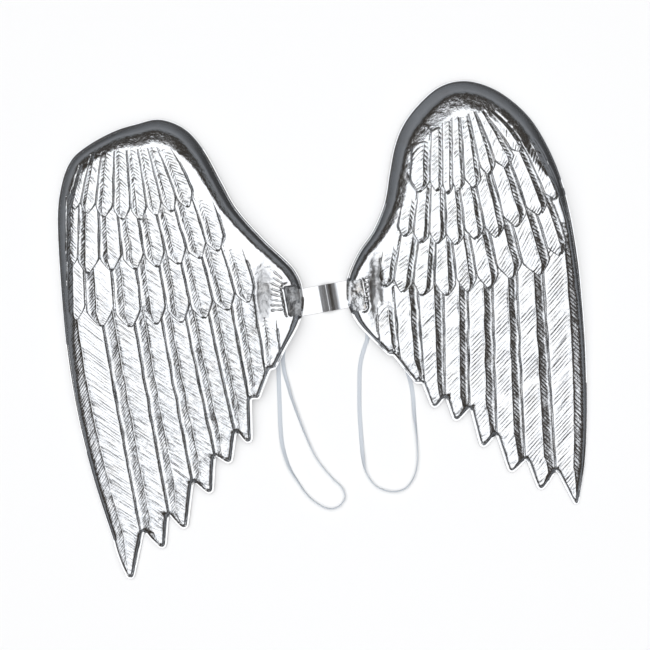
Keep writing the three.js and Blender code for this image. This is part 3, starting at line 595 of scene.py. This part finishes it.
def addSheet(shape, name, plans):
    # the formed sheet: rings of points follow its edge inwards, then an even field of points
    outline = shape.outline[::2]
    count = len(outline)
    along = np.roll(outline, -1, axis=0) - np.roll(outline, 1, axis=0)
    along /= np.linalg.norm(along, axis=1)[:, None]
    inward = np.column_stack([along[:, 1], -along[:, 0]])
    sets = []
    for distance in shell["rings"]:
        p = outline + inward * distance
        real, _ = shape.nearest(p)
        sets.append(p[(real > 0.965 * distance) & (np.array([insideOutline(shape, q) for q in p]))])
    # even triangles: each row is shifted by half a step
    spacing, high = shell["fieldStep"], shell["fieldStep"] * 0.866
    w, h = shape.scale
    columns, rows = int(w / spacing) + 1, int(h / high) + 1
    places = [((i + 0.5 * (j % 2)) * spacing, j * high) for j in range(rows) for i in range(columns)]
    grid = np.array(places)
    real, _ = shape.nearest(grid)
    keep = (real > shell["fieldFrom"]) & np.array([insideOutline(shape, q) for q in grid])
    sets.append(grid[keep])
    field = np.vstack(sets)
    field = field[padDistance(shape, field) < -pad["clear"]]
    pads = [padRing(shape, o) for o in pad["rings"]]
    fine, far = pad["fineStep"], pad["reach"]
    fill = np.array([(x, y) for x in np.arange(0, far, fine) for y in np.arange(-far, far, fine)])
    fill[:, 1] += shape.wing["padUp"] * shape.wing["height"]
    pads.append(fill[padDistance(shape, fill) > pad["fillFrom"]])
    padPoints = np.vstack(pads)
    padPoints = padPoints[shape.nearest(padPoints)[0] > pad["edgeGap"]]
    padPoints = padPoints[[insideOutline(shape, q) for q in padPoints]]
    everything = np.vstack([outline, field, padPoints])
    edges = [(i, (i + 1) % count) for i in range(count)]
    result = delaunay_2d_cdt([Vector(p) for p in everything], edges, [], 1, 1e-5)
    flat = np.array([(v.x, v.y) for v in result[0]])
    z = shape.height(flat)
    bandShare, hollowed = shape.bandShare, shape.hollowed
    inPad = padDistance(shape, flat)
    leans = np.clip(flat[:, 0] - pad["inset"], 0, pad["width"]) * pad["slope"]
    crumpled = crinkle(flat, 5.5, 3) + 0.7 * np.abs(crinkle(flat, 3.6, 4)) + 0.3 * crinkle(flat, 1.8, 5)
    floor = shell["flangeThickness"] + pad["rise"] + leans + pad["crumple"] * crumpled
    step = np.clip((inPad + 0.35) / 0.7, 0, 1)
    z = np.where(inPad > -0.36, z * (1 - step) + np.maximum(floor, 0.9) * step, z)
    distance, index = shape.nearest(flat)
    covered = np.zeros(len(flat))
    for plan in plans:
        covered = np.maximum(covered, coveredBy(plan, flat))
    z = z - np.where(inPad > -0.5, 0, feather["sheetSink"] * covered)
    z = np.maximum(z, shell["flangeThickness"] - 0.4 * covered)
    outerSide = np.clip((flat[:, 0] - pad["inset"] - pad["width"] * 0.8) / 2, 0, 1)
    z -= pad["groove"] * np.exp(-((inPad + 2.5) / 0.55) ** 2) * outerSide
    inBand = np.clip((bandShare - 0.42) / 0.12, 0, 1) * np.clip((1 - bandShare) / 0.1, 0, 1)
    inner = np.clip((distance - 5) / 8, 0, 1)
    fromRoot = np.linalg.norm(flat - np.array([0, shape.wing["padUp"] * h]), axis=1)
    nearRoot = np.clip((70 - fromRoot) / 25, 0, 1) * np.clip((distance - 5) / 6, 0, 1)
    nearRoot = nearRoot * shape.wing["wrinkled"]
    z = z + inner * crinkled(foil["whole"], flat)
    z = z + nearRoot * (crinkled(foil["root"], flat) + foil["pleat"] * np.abs(crinkle(flat, 6, 52)))
    fibres = crinkle(np.column_stack([index * shell["outlineStep"], distance / 4]), 3.4, 15)
    z = z + inBand * (crinkled(foil["band"], flat) + foil["fibre"] * fibres)
    points = shape.toWorld(np.column_stack([flat, z]))
    faces = [tuple(f) for f in result[2]]
    o = newMesh(name, points, faces)
    # grain: how rough the foil's surface is at each place
    patches = np.clip(0.5 + 1.6 * crinkle(flat, 16, 41), 0, 1) * np.clip((distance - 9) / 8, 0, 1)
    grain = o.data.attributes.new("grain", "FLOAT", "POINT")
    inDark = np.clip((bandShare - 0.38) / 0.1, 0, 1) * (bandShare < 1)
    grain.data.foreach_set("value", 0.1 + 0.42 * inDark + 0.3 * patches + 0.5 * hollowed)
    haze = o.data.attributes.new("haze", "FLOAT", "POINT")
    haze.data.foreach_set("value", np.clip(1.4 * hollowed, 0, 1))
    inside = [inPad[list(face)].min() > -0.2 for face in faces]
    o.data.polygons.foreach_set("material_index", np.array(inside, int))
    turnFacesOut(o)
    giveWall(o, shell["wall"])
    applyModifiers(o)
    shadeSmooth(o, 50)
    return o


def insideOutline(shape, p):
    # counts how often a line to the right of the place crosses the outline
    a = shape.outline
    b = np.roll(a, -1, axis=0)
    crosses = (a[:, 1] > p[1]) != (b[:, 1] > p[1])
    if not crosses.any():
        return False
    a, b = a[crosses], b[crosses]
    x = a[:, 0] + (p[1] - a[:, 1]) * (b[:, 0] - a[:, 0]) / (b[:, 1] - a[:, 1])
    return bool(((x > p[0]).sum()) % 2)


def axisDistance(place, across, other):
    # how far the next feather's shaft line is, along this feather's cross direction
    base, tip = other
    run = tip - base
    turn = across[0] * run[1] - across[1] * run[0]
    if abs(turn) < 1e-6:
        return 1e3
    gap = base - place
    return (gap[0] * run[1] - gap[1] * run[0]) / turn


def planFeather(shape, row, before, after, lift, start, isLong, seed):
    # where one feather lies: its middle line and how far it reaches to both sides
    f = feather
    width = shape.wing["width"]
    tuck, grown, hidden = start
    tip = np.array(row[2:4]) * shape.scale
    base = np.array(row[:2]) * shape.scale
    base = base + (base - tip) * tuck
    length = float(np.linalg.norm(tip - base))
    along = (tip - base) / length
    if isLong:
        tip, length = tip + along * f["reach"], length + f["reach"]
    across = np.array([-along[1], along[0]])
    if across[0] < 0:
        across = -across  # towards the outer side
    bow = shape.wing["bows"][0 if isLong else 1] * along[0] * length
    margin = shell["tipFlange"] + f["edgeGap"]
    stations = np.linspace(0, 1, 100)
    limits = []
    for sign, neighbour, point in ((-1, after, f["points"][0]), (1, before, f["points"][1])):
        blunt = (f["longPoint"] if isLong else point) * row[5] * width / length
        fromTip = np.clip((stations - (1 - blunt)) / blunt, 0, 1)
        power, root = f["longEnd" if isLong else "shortEnd"]
        rounding = np.clip(1 - fromTip ** power, 0, 1) ** root
        halves = []
        for share in stations:
            place = base + along * share * length + across * bow * 4 * share * (1 - share)
            own = (row[4] + (row[5] - row[4]) * share) * width
            reach = shape.room(place, across * sign) - margin
            if neighbour is not None:
                line = [np.array(neighbour[:2]) * shape.scale, np.array(neighbour[2:4]) * shape.scale]
                gap = abs(axisDistance(place, across, line))
                other = (neighbour[4] + (neighbour[5] - neighbour[4]) * share) * width
                wanted = min(gap * own / (own + other) + f["overlap"], own * 1.5)
            else:
                wanted = 1e3 if isLong and sign > 0 else own
            halves.append(max(0.3, min(wanted, reach)))
        limits.append(np.maximum(np.array(halves) * rounding, 0.15))
    ease = shape.wing["outerEase"] if before is None else 1
    return dict(base=base, along=along, across=across, length=length, bow=bow, stations=stations,
                inner=limits[0], outer=limits[1], lift=lift, grown=grown, hidden=hidden, ease=ease,
                isLong=isLong, seed=seed)


def coveredBy(plan, flat):
    # 1 where the feather lies over a place, 0 outside it, with a soft border
    d = flat - plan["base"]
    place, offset = d @ plan["along"], d @ plan["across"]
    share = np.clip(place / plan["length"], 0, 1)
    offset = offset - plan["bow"] * 4 * share * (1 - share)
    inner = np.interp(share, plan["stations"], plan["inner"])
    outer = np.interp(share, plan["stations"], plan["outer"])
    start = plan["hidden"] * plan["length"]
    fromSides = np.minimum(offset + inner, outer - offset)
    fromEnds = np.minimum(place - start, plan["length"] - place) - 0.6
    inside = np.minimum(fromSides, fromEnds)
    return np.clip((inside + 0.2) / 0.8, 0, 1)


def addFeather(shape, plan):
    # one feather: a grid whose rows follow its barbs, so that each barb is a real fold
    f = feather
    wing = shape.wing
    length, stations, seed = plan["length"], plan["stations"], plan["seed"]
    # rows: three for each barb, close together at its notch
    pitch = wing["barbPitch"]
    barbs = int(length / pitch)
    steps = [0, f["notch"], 1 - f["notch"]]
    rowAt = np.array([(i + k) * pitch for i in range(barbs) for k in steps] + [length])
    isNotch = np.array([k == 0 for i in range(barbs) for k in steps] + [False])
    face = np.array([(k > 0) * (0.5 - k) * 1.5 for i in range(barbs) for k in steps] + [0])
    rows = len(rowAt)
    # columns: the inner flank, the broad inner side, the shaft, the outer side and the thin outer lip
    widest = (plan["inner"] + plan["outer"]).max()
    size = min(1, widest / f["fullWidth"])
    flank = wing["flank"] * size
    kinds = [(0, 0), (0, 0.2), (0, 0.42), (0, 0.7), (0, 1)]
    kinds += [(1, k) for k in (0.18, 0.38, 0.58, 0.8)] + [(2, -0.4), (2, 0), (2, 0.4)]
    kinds += [(3, k) for k in (0.2, 0.4, 0.6, 0.8)] + [(4, 1), (4, 0.45), (4, 0.12), (4, 0)]
    columns = len(kinds)

    def crossAt(inner, outer):
        # distance from the inner edge of every column, for given half widths
        whole = inner + outer
        narrow = np.clip(whole / widest, 0.02, 1)
        first, shaft, last = flank * narrow, f["shaftAt"] * whole, whole - f["lip"] * size * narrow
        out = []
        for kind, k in kinds:
            if kind == 0:
                out.append(first * k)
            elif kind == 1:
                out.append(first + (shaft - first) * k * 0.97)
            elif kind == 2:
                out.append(shaft + k * narrow)
            elif kind == 3:
                out.append(shaft + (last - shaft) * (0.06 + 0.94 * k))
            else:
                out.append(whole - f["lip"] * size * narrow * k)
        return np.stack(out, axis=-1), narrow, first, shaft, last, whole

    # the barbs leave the shaft at a slant, so a row lies further down at its sides
    dense = np.linspace(0, length, 400)
    inner = np.interp(dense / length, stations, plan["inner"])
    outer = np.interp(dense / length, stations, plan["outer"])
    u, _, _, shaft, _, _ = crossAt(inner, outer)
    fade = np.clip(dense / (2.2 * f["barbSlant"] * widest * f["shaftAt"]), 0, 1)
    fade = fade * fade * (3 - 2 * fade)
    reach = dense[:, None] - f["barbSlant"] * np.abs(u - shaft[:, None]) * fade[:, None]
    reach = np.maximum.accumulate(reach, axis=0)
    place = np.stack([np.interp(rowAt, reach[:, k], dense) for k in range(columns)], axis=1)
    share = place / length
    inner = np.interp(share, stations, plan["inner"])
    outer = np.interp(share, stations, plan["outer"])
    table, narrow, first, shaft, last, whole = crossAt(inner, outer)
    cross = np.take_along_axis(table, np.arange(columns)[None, :, None].repeat(rows, 0), axis=2)[..., 0]
    alongRow = np.column_stack([rowAt, rowAt * 0])
    wobble = f["wobble"] * crinkle(alongRow, 16, seed + 3)[:, None] * (1 - np.abs(2 * share - 1))
    offset = cross - inner + plan["bow"] * 4 * share * (1 - share) + wobble
    xy = plan["base"] + plan["along"] * place[..., None] + plan["across"] * offset[..., None]
    flat = xy.reshape(-1, 2)
    ground = shape.height(flat).reshape(place.shape)
    # across: a steep rounded flank, a gentle rise to the shaft, a steeper fall, a flat lip and its edge
    scale = np.minimum(1, f["fullWidth"] / whole) * narrow
    top = f["flankTop"] * size * narrow
    rise = top + f["innerSlope"] * scale * np.clip(cross - first, 0, None)
    crest = top + f["innerSlope"] * scale * (shaft - first)
    bright = np.clip(0.55 + 1.6 * crinkle(alongRow, 20, seed + 60), 0, 1)[:, None]
    steep = f["outerSlope"] * plan["ease"] * narrow ** (wing["endFall"] - 1)
    steep = steep * (1 + 0.3 * crinkle(alongRow, 22, seed + 9)[:, None]) * (1 - 0.4 * bright)
    fall = crest - steep * scale * np.clip(cross - shaft, 0, last - shaft)
    form = np.where(cross < shaft, rise, fall)
    form += f["lipRise"] * scale * np.clip(cross - last, 0, None)
    form += f["crest"] * size * np.exp(-((cross - shaft) / 0.3) ** 2) * np.clip(1.2 - share, 0, 1)
    endGap = np.clip((length - place) / (flank * 1.2), 0, 1)
    flankShare = np.sin(np.minimum(np.clip(cross / np.maximum(first, 0.05), 0, 1), endGap) * math.pi / 2)
    nearEnd = np.clip((share - 0.8) / 0.2, 0, 1)
    freeEnd = np.clip((f["fadeFrom"] - (length - place)) / f["fadeOver"], 0, 1) * plan["isLong"]
    deep = f["flankDepth"] * size * (1 - 0.95 * freeEnd) + (not plan["isLong"]) * nearEnd * plan["lift"]
    form = form * flankShare - deep * (1 - flankShare)
    atLip = np.clip(1 - (whole - cross) / (0.3 * f["lip"] * size * narrow + 1e-6), 0, 1)
    form -= f["lipDrop"] * atLip * (1 - 0.8 * freeEnd)
    grown = np.clip(share / plan["grown"], 0, 1)
    grown = grown * grown * (3 - 2 * grown)
    z = ground + form * grown + plan["lift"] * np.clip(share * 1.1, 0, 1) - f["baseSink"] * (1 - share)
    # barbs: narrow notches, deeper in some places than in others, with streaks along them
    barb = zip(cross.reshape(-1) / 9, np.repeat(rowAt, columns) / 1.6)
    streak = np.array([noise.noise((a, b, seed + 0.5)) for a, b in barb]).reshape(place.shape)
    plane = np.clip(np.minimum(cross - first, whole - cross - f["lip"] * size) / 1.2, 0, 1)
    plane = plane * np.clip(np.abs(cross - shaft) / 0.5, 0, 1) * np.clip((length - place) / 3, 0, 1)
    patches = (1.3 - wing["chaos"]) * crinkle(flat, 12, seed)
    patches += wing["chaos"] * crinkle(flat, 3.6, seed + 20)
    depth = np.clip(0.55 + 1.5 * patches.reshape(place.shape), 0, 1.5) * wing["barbs"]
    if plan["isLong"]:
        depth = depth * np.clip((length - place) / 12 - 0.9, 0.1, 1)
    z -= f["barbDepth"] * isNotch[:, None] * depth * plane
    # on the outer side each barb's face is turned level, so that it catches light between two dark steps
    outerSide = np.clip((cross - shaft) / 0.6, 0, 1) * np.clip((last - cross) / 0.6, 0, 1)
    z += f["terrace"] * face[:, None] * outerSide * bright * size
    plane = plane * (0.25 + 0.75 * grown)
    z += f["streak"] * streak * plane * wing["barbs"]
    where = zip(cross.reshape(-1), place.reshape(-1))
    lines = [noise.noise((a / 2.1, b / 30, seed + 7.5)) for a, b in where]
    z += f["ridge"] * np.array(lines).reshape(place.shape) * plane * (1 if plan["isLong"] else 1.5)
    z += f["dent"] * size * crinkle(flat, 7, seed + 40).reshape(place.shape)
    z += 0.4 * f["dent"] * size * crinkle(flat, 2.6, seed + 80).reshape(place.shape)
    z = np.maximum(z, shell["flangeThickness"] - 0.2)
    o = addGrid(columns - 1, rows - 1)
    world = shape.toWorld(np.column_stack([flat, z.reshape(-1)]))
    o.data.vertices.foreach_set("co", world.reshape(-1))
    uv = o.data.uv_layers[0] if o.data.uv_layers else o.data.uv_layers.new(name="barbs")
    uv.name = "barbs"
    corner = np.zeros(len(o.data.loops), int)
    o.data.loops.foreach_get("vertex_index", corner)
    across = cross - shaft
    onFeather = np.column_stack([across.reshape(-1), np.repeat(rowAt, columns)])
    uv.data.foreach_set("uv", (onFeather[corner] * mm + seed * 0.037).reshape(-1))
    o.data.update()
    giveWall(o, f["thickness"])
    applyModifiers(o)
    return o


def addRib(shape, row, seed):
    # a short rounded ridge beside the pad
    start, end = np.array(row[:2]) * shape.scale, np.array(row[2:]) * shape.scale
    run = end - start
    length = np.linalg.norm(run)
    along = run / length
    across = np.array([-along[1], along[0]])
    columns = np.linspace(-1, 1, rib["columns"])
    rows = rib["rows"]
    o = addGrid(len(columns) - 1, rows - 1)
    s = np.linspace(0, 1, rows)[:, None]
    half = rib["half"] - rib["taper"] * s
    t = np.broadcast_to(columns, (rows, len(columns)))
    xy = start + run * s[..., None] + across * (t * half)[..., None]
    flat = xy.reshape(-1, 2)
    fade = np.clip(s / 0.35, 0, 1) * np.clip((1 - s) / 0.08, 0, 1)
    lift = rib["height"] / 2
    z = shape.height(flat).reshape(t.shape) + (np.cos(t * math.pi) + 1) * lift * fade - lift
    z += rib["rough"] * crinkle(flat, 3.5, seed).reshape(t.shape)
    world = shape.toWorld(np.column_stack([flat, z.reshape(-1)]))
    o.data.vertices.foreach_set("co", world.reshape(-1))
    if o.data.uv_layers:
        o.data.uv_layers[0].name = "barbs"
    o.data.update()
    giveWall(o, feather["thickness"])
    applyModifiers(o)
    return o


# finishes
def newMaterial(name):
    material = bpy.data.materials.new(name)
    material.use_nodes = True
    nodes, links = material.node_tree.nodes, material.node_tree.links
    return material, nodes, links, nodes["Principled BSDF"]


def addNoise(nodes, links, coords, scale, detail=3, rough=0.55, stretch=None):
    n = nodes.new("ShaderNodeTexNoise")
    n.inputs["Scale"].default_value = scale
    n.inputs["Detail"].default_value = detail
    n.inputs["Roughness"].default_value = rough
    if stretch:
        mapping = nodes.new("ShaderNodeMapping")
        mapping.inputs["Scale"].default_value = stretch
        links.new(coords, mapping.inputs["Vector"])
        coords = mapping.outputs["Vector"]
    links.new(coords, n.inputs["Vector"])
    return n


silver = dict(
    color=(0.87, 0.88, 0.895), warm=(0.83, 0.825, 0.82), roughness=0.11, pitch=260, bump=0.3,
    # the attributes that set the bump and the dullness, and whether fine hairs run along the barbs
    hazeRough=0.34, grain="", haze="", hairs=True,
)


def silverFinish(name, **changes):
    # bright metallised sheet: a mirror with fine wrinkles, duller patches and a warm cast here and there
    s = dict(silver, **changes)
    material, nodes, links, shader = newMaterial(name)
    shader.inputs["Metallic"].default_value = 1
    where = nodes.new("ShaderNodeTexCoord").outputs["Object"]
    dull = addNoise(nodes, links, where, 60, 2)
    tint = nodes.new("ShaderNodeMix")
    tint.data_type = "RGBA"
    tint.inputs["A"].default_value = (*s["color"], 1)
    tint.inputs["B"].default_value = (*s["warm"], 1)
    cast = nodes.new("ShaderNodeMapRange")
    cast.inputs["From Min"].default_value = 0.45
    cast.inputs["From Max"].default_value = 0.7
    links.new(addNoise(nodes, links, where, 95, 3).outputs["Fac"], cast.inputs["Value"])
    links.new(cast.outputs["Result"], tint.inputs["Factor"])
    links.new(tint.outputs["Result"], shader.inputs["Base Color"])
    roughness = nodes.new("ShaderNodeMapRange")
    roughness.inputs["To Min"].default_value = s["roughness"] * 0.7
    roughness.inputs["To Max"].default_value = s["roughness"] * 1.7
    links.new(dull.outputs["Fac"], roughness.inputs["Value"])
    links.new(roughness.outputs["Result"], shader.inputs["Roughness"])
    wrinkles = addNoise(nodes, links, where, s["pitch"], 4, 0.6)
    first = nodes.new("ShaderNodeBump")
    first.inputs["Strength"].default_value = s["bump"]
    first.inputs["Distance"].default_value = 0.0012
    links.new(wrinkles.outputs["Fac"], first.inputs["Height"])
    last = first
    if s["grain"]:
        grain = nodes.new("ShaderNodeAttribute")
        grain.attribute_name = s["grain"]
        links.new(grain.outputs["Fac"], first.inputs["Strength"])
    if s["haze"]:
        haze = nodes.new("ShaderNodeAttribute")
        haze.attribute_name = s["haze"]
        duller = nodes.new("ShaderNodeMath")
        duller.operation = "MULTIPLY_ADD"
        duller.inputs[1].default_value = s["hazeRough"]
        links.new(haze.outputs["Fac"], duller.inputs[0])
        links.new(roughness.outputs["Result"], duller.inputs[2])
        links.new(duller.outputs["Value"], shader.inputs["Roughness"])
    if s["hairs"]:
        barbs = nodes.new("ShaderNodeUVMap")
        barbs.uv_map = "barbs"
        hairs = addNoise(nodes, links, barbs.outputs["UV"], 1, 3, 0.6, (160, 900, 1))
        second = nodes.new("ShaderNodeBump")
        second.inputs["Strength"].default_value = s["bump"] * 0.9
        second.inputs["Distance"].default_value = 0.0005
        links.new(hairs.outputs["Fac"], second.inputs["Height"])
        links.new(first.outputs["Normal"], second.inputs["Normal"])
        last = second
    links.new(last.outputs["Normal"], shader.inputs["Normal"])
    return material


sheetSilver = silverFinish("sheet_silver", grain="grain", haze="haze", hairs=False)
featherSilver = silverFinish("feather_silver")
stripSilver = silverFinish("strip_silver", bump=0.03, roughness=0.15, hairs=False)
# the pads' foil in two copies: the left copy's darker colours are painted shade, because that pad faces
# away from the light; the right copy stays close to the plain foil
padSilverPaintedShade = {
    "left": silverFinish("pad_silver_painted_shade_left", color=(0.62, 0.63, 0.64), warm=(0.46, 0.45, 0.44),
                         roughness=0.36, bump=0.8, hairs=False),
    "right": silverFinish("pad_silver_right", color=(0.8, 0.81, 0.82), warm=(0.5, 0.44, 0.38),
                          roughness=0.2, bump=0.6, hairs=False),
}


def elasticFinish():
    material, nodes, links, shader = newMaterial("elastic_white")
    uv = nodes.new("ShaderNodeUVMap")
    uv.uv_map = "weave"
    ribs = nodes.new("ShaderNodeTexWave")
    ribs.bands_direction = "Y"
    ribs.inputs["Scale"].default_value = 700
    ribs.inputs["Distortion"].default_value = 0.6
    links.new(uv.outputs["UV"], ribs.inputs["Vector"])
    tint = nodes.new("ShaderNodeMix")
    tint.data_type = "RGBA"
    tint.inputs["A"].default_value = (0.55, 0.59, 0.64, 1)
    tint.inputs["B"].default_value = (0.64, 0.68, 0.73, 1)
    links.new(ribs.outputs["Fac"], tint.inputs["Factor"])
    links.new(tint.outputs["Result"], shader.inputs["Base Color"])
    bump = nodes.new("ShaderNodeBump")
    bump.inputs["Strength"].default_value = 0.3
    bump.inputs["Distance"].default_value = 0.0003
    links.new(ribs.outputs["Fac"], bump.inputs["Height"])
    links.new(bump.outputs["Normal"], shader.inputs["Normal"])
    shader.inputs["Roughness"].default_value = 0.55
    return material


elasticWhite = elasticFinish()
for o in (loopLeft, loopRight):
    o.data.materials.append(elasticWhite)


def planWing(shape):
    wing = shape.wing
    plans = {"long": [], "short": []}
    rowsOf = [("long", wing["long"], feather["rowStep"], 0)]
    for level, rows in enumerate(wing["rows"]):
        # the right wing's rows are listed from the root, but are made from the outer side
        rows = rows[::-1] if wing["side"] > 0 else rows
        lift = feather["rowStep"] * (1 + feather["rowGrowth"] * level)
        rowsOf.append(("short", rows, lift, level + 1))
    seed = 0
    for kind, rows, lift, level in rowsOf:
        rows = [shape.settled(row) for row in rows]
        for i, row in enumerate(rows):
            # the last one lies beside the shoulder, where no upper row hides its base
            isFree = i + 1 == len(rows)
            start = feather["freeBase" if isFree else "tucked"][level]
            before = rows[i - 1] if i else None
            after = rows[i + 1] if i + 1 < len(rows) else None
            plans[kind].append(planFeather(shape, row, before, after, lift, start, kind == "long", seed))
            seed += 1
    return plans


def addWing(wing, word, node):
    shape = WingShape(wing)
    plans = planWing(shape)
    sheet = addSheet(shape, "sheet_" + word, plans["long"] + plans["short"])
    sheet.data.materials.append(sheetSilver)
    sheet.data.materials.append(padSilverPaintedShade[word])
    print(sheet.name, len(sheet.data.polygons), "faces")
    made = {
        "long_feathers_": [addFeather(shape, plan) for plan in plans["long"]],
        "short_feathers_": [addFeather(shape, plan) for plan in plans["short"]],
        "root_ribs_": [addRib(shape, shape.settled(row), 100 + i) for i, row in enumerate(wing["ribs"])],
    }
    pieces = [sheet]
    for label, parts in made.items():
        o = joined(parts, label + word)
        shadeSmooth(o)
        o.data.materials.clear()
        o.data.materials.append(featherSilver)
        print(o.name, len(o.data.polygons), "faces")
        pieces.append(o)
    for o in pieces:
        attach(o, "root")
        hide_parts(node)
    return pieces


addWing(leftWing, "left", "wing_left")
addWing(rightWing, "right", "wing_right")


def addStrip(s):
    # a fine grid bent into one low wave between the wings, with flat ends behind the pads
    reach = shell["rootGap"] / 2 + pad["inset"] + pad["width"] + s["endInset"]
    o = addGrid(220, 8)
    o.name = "connector_strip_bright"
    co = np.zeros(len(o.data.vertices) * 3)
    o.data.vertices.foreach_get("co", co)
    co = co.reshape(-1, 3)
    x, y = co[:, 0] * 2 * reach, co[:, 1] * s["width"]
    places, tilts = np.array(s["waveTilts"]).T
    fine = np.linspace(0, places[-1], 400)
    slope = np.tan(np.radians(np.interp(fine, places, tilts)))
    # the falling side is scaled so that the strip ends as low as it starts
    slope[slope < 0] *= slope[slope > 0].sum() / -slope[slope < 0].sum()
    z = np.interp(x - s["waveAt"], fine, np.cumsum(slope) * fine[1]) + s["thickness"]
    middleY = sum(wing["padUp"] * wing["height"] + wing["rise"] for wing in (leftWing, rightWing)) / 2
    middleX = (leftWing["width"] - rightWing["width"]) / 2
    turn = s["tilt"]
    worldX = middleX + x * math.cos(turn) - y * math.sin(turn)
    worldY = middleY - shell["wholeHeight"] / 2 + x * math.sin(turn) + y * math.cos(turn)
    o.data.vertices.foreach_set("co", (np.column_stack([worldX, worldY, z]) * mm).reshape(-1))
    o.data.update()
    giveWall(o, s["thickness"])
    edge = o.modifiers.new("edge", "BEVEL")
    edge.width = 0.15 * mm
    edge.segments = 2
    edge.limit_method = "ANGLE"
    applyModifiers(o)
    shadeSmooth(o, 12)
    o.data.materials.append(stripSilver)
    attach(o, "root")
    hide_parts("connector_strip")
    return o


addStrip(strip)
print("wings and strip made")

# floor and light: a wide soft lamp lights the floor, and the sky stands for the box above and the room
studio = dict(
    floor=6, lampHeight=1800, lampSide=4000, lampPower=58, toLight=(-0.14, 0.05, 0.99), strength=1.32,
    sky=[
        (-1, (0.03, 0.03, 0.03)), (-0.72, (0.045, 0.046, 0.048)), (-0.5, (0.115, 0.121, 0.13)),
        (-0.2, (0.165, 0.173, 0.185)), (0.12, (0.118, 0.124, 0.132)), (0.3, (0.025, 0.022, 0.019)),
        (0.68, (0.042, 0.037, 0.032)), (0.8, (0.2, 0.2, 0.205)), (0.87, (0.62, 0.64, 0.67)),
        (0.92, (0.95, 0.97, 1.0)), (1.0, (1.0, 1.0, 1.0)),
    ],
)


def addStudio(s):
    clearSelection()
    bpy.ops.mesh.primitive_plane_add(size=s["floor"])
    floor = bpy.context.object
    floor.name = "floor"
    material, _, _, shader = newMaterial("pale_floor")
    shader.inputs["Base Color"].default_value = (0.9, 0.9, 0.9, 1)
    shader.inputs["Roughness"].default_value = 0.9
    shader.inputs["Specular IOR Level"].default_value = 0.1
    floor.data.materials.append(material)
    floor.visible_glossy = False
    lamp = bpy.data.lights.new("soft_lamp", "AREA")
    lamp.size = s["lampSide"] * mm
    lamp.energy = s["lampPower"]
    box = bpy.data.objects.new("soft_lamp", lamp)
    box.location = (0, 0, s["lampHeight"] * mm)
    box.visible_glossy = False
    scene.collection.objects.link(box)
    world = bpy.data.worlds.new("studio")
    scene.world = world
    world.use_nodes = True
    nodes, links = world.node_tree.nodes, world.node_tree.links
    where = nodes.new("ShaderNodeTexCoord")
    angle = nodes.new("ShaderNodeVectorMath")
    angle.operation = "DOT_PRODUCT"
    angle.inputs[1].default_value = Vector(s["toLight"]).normalized()
    links.new(where.outputs["Generated"], angle.inputs[0])
    ramp = nodes.new("ShaderNodeValToRGB")
    stops = ramp.color_ramp.elements
    while len(stops) < len(s["sky"]):
        stops.new(0.5)
    for stop, (at, color) in zip(stops, s["sky"]):
        stop.position = (at + 1) / 2
        stop.color = (*color, 1)
    fromBelow = nodes.new("ShaderNodeMapRange")
    fromBelow.inputs["From Min"].default_value = -1
    links.new(angle.outputs["Value"], fromBelow.inputs["Value"])
    links.new(fromBelow.outputs["Result"], ramp.inputs["Fac"])
    links.new(ramp.outputs["Color"], nodes["Background"].inputs["Color"])
    nodes["Background"].inputs["Strength"].default_value = s["strength"]


addStudio(studio)
scene.view_settings.view_transform = "Standard"
print("studio lit")
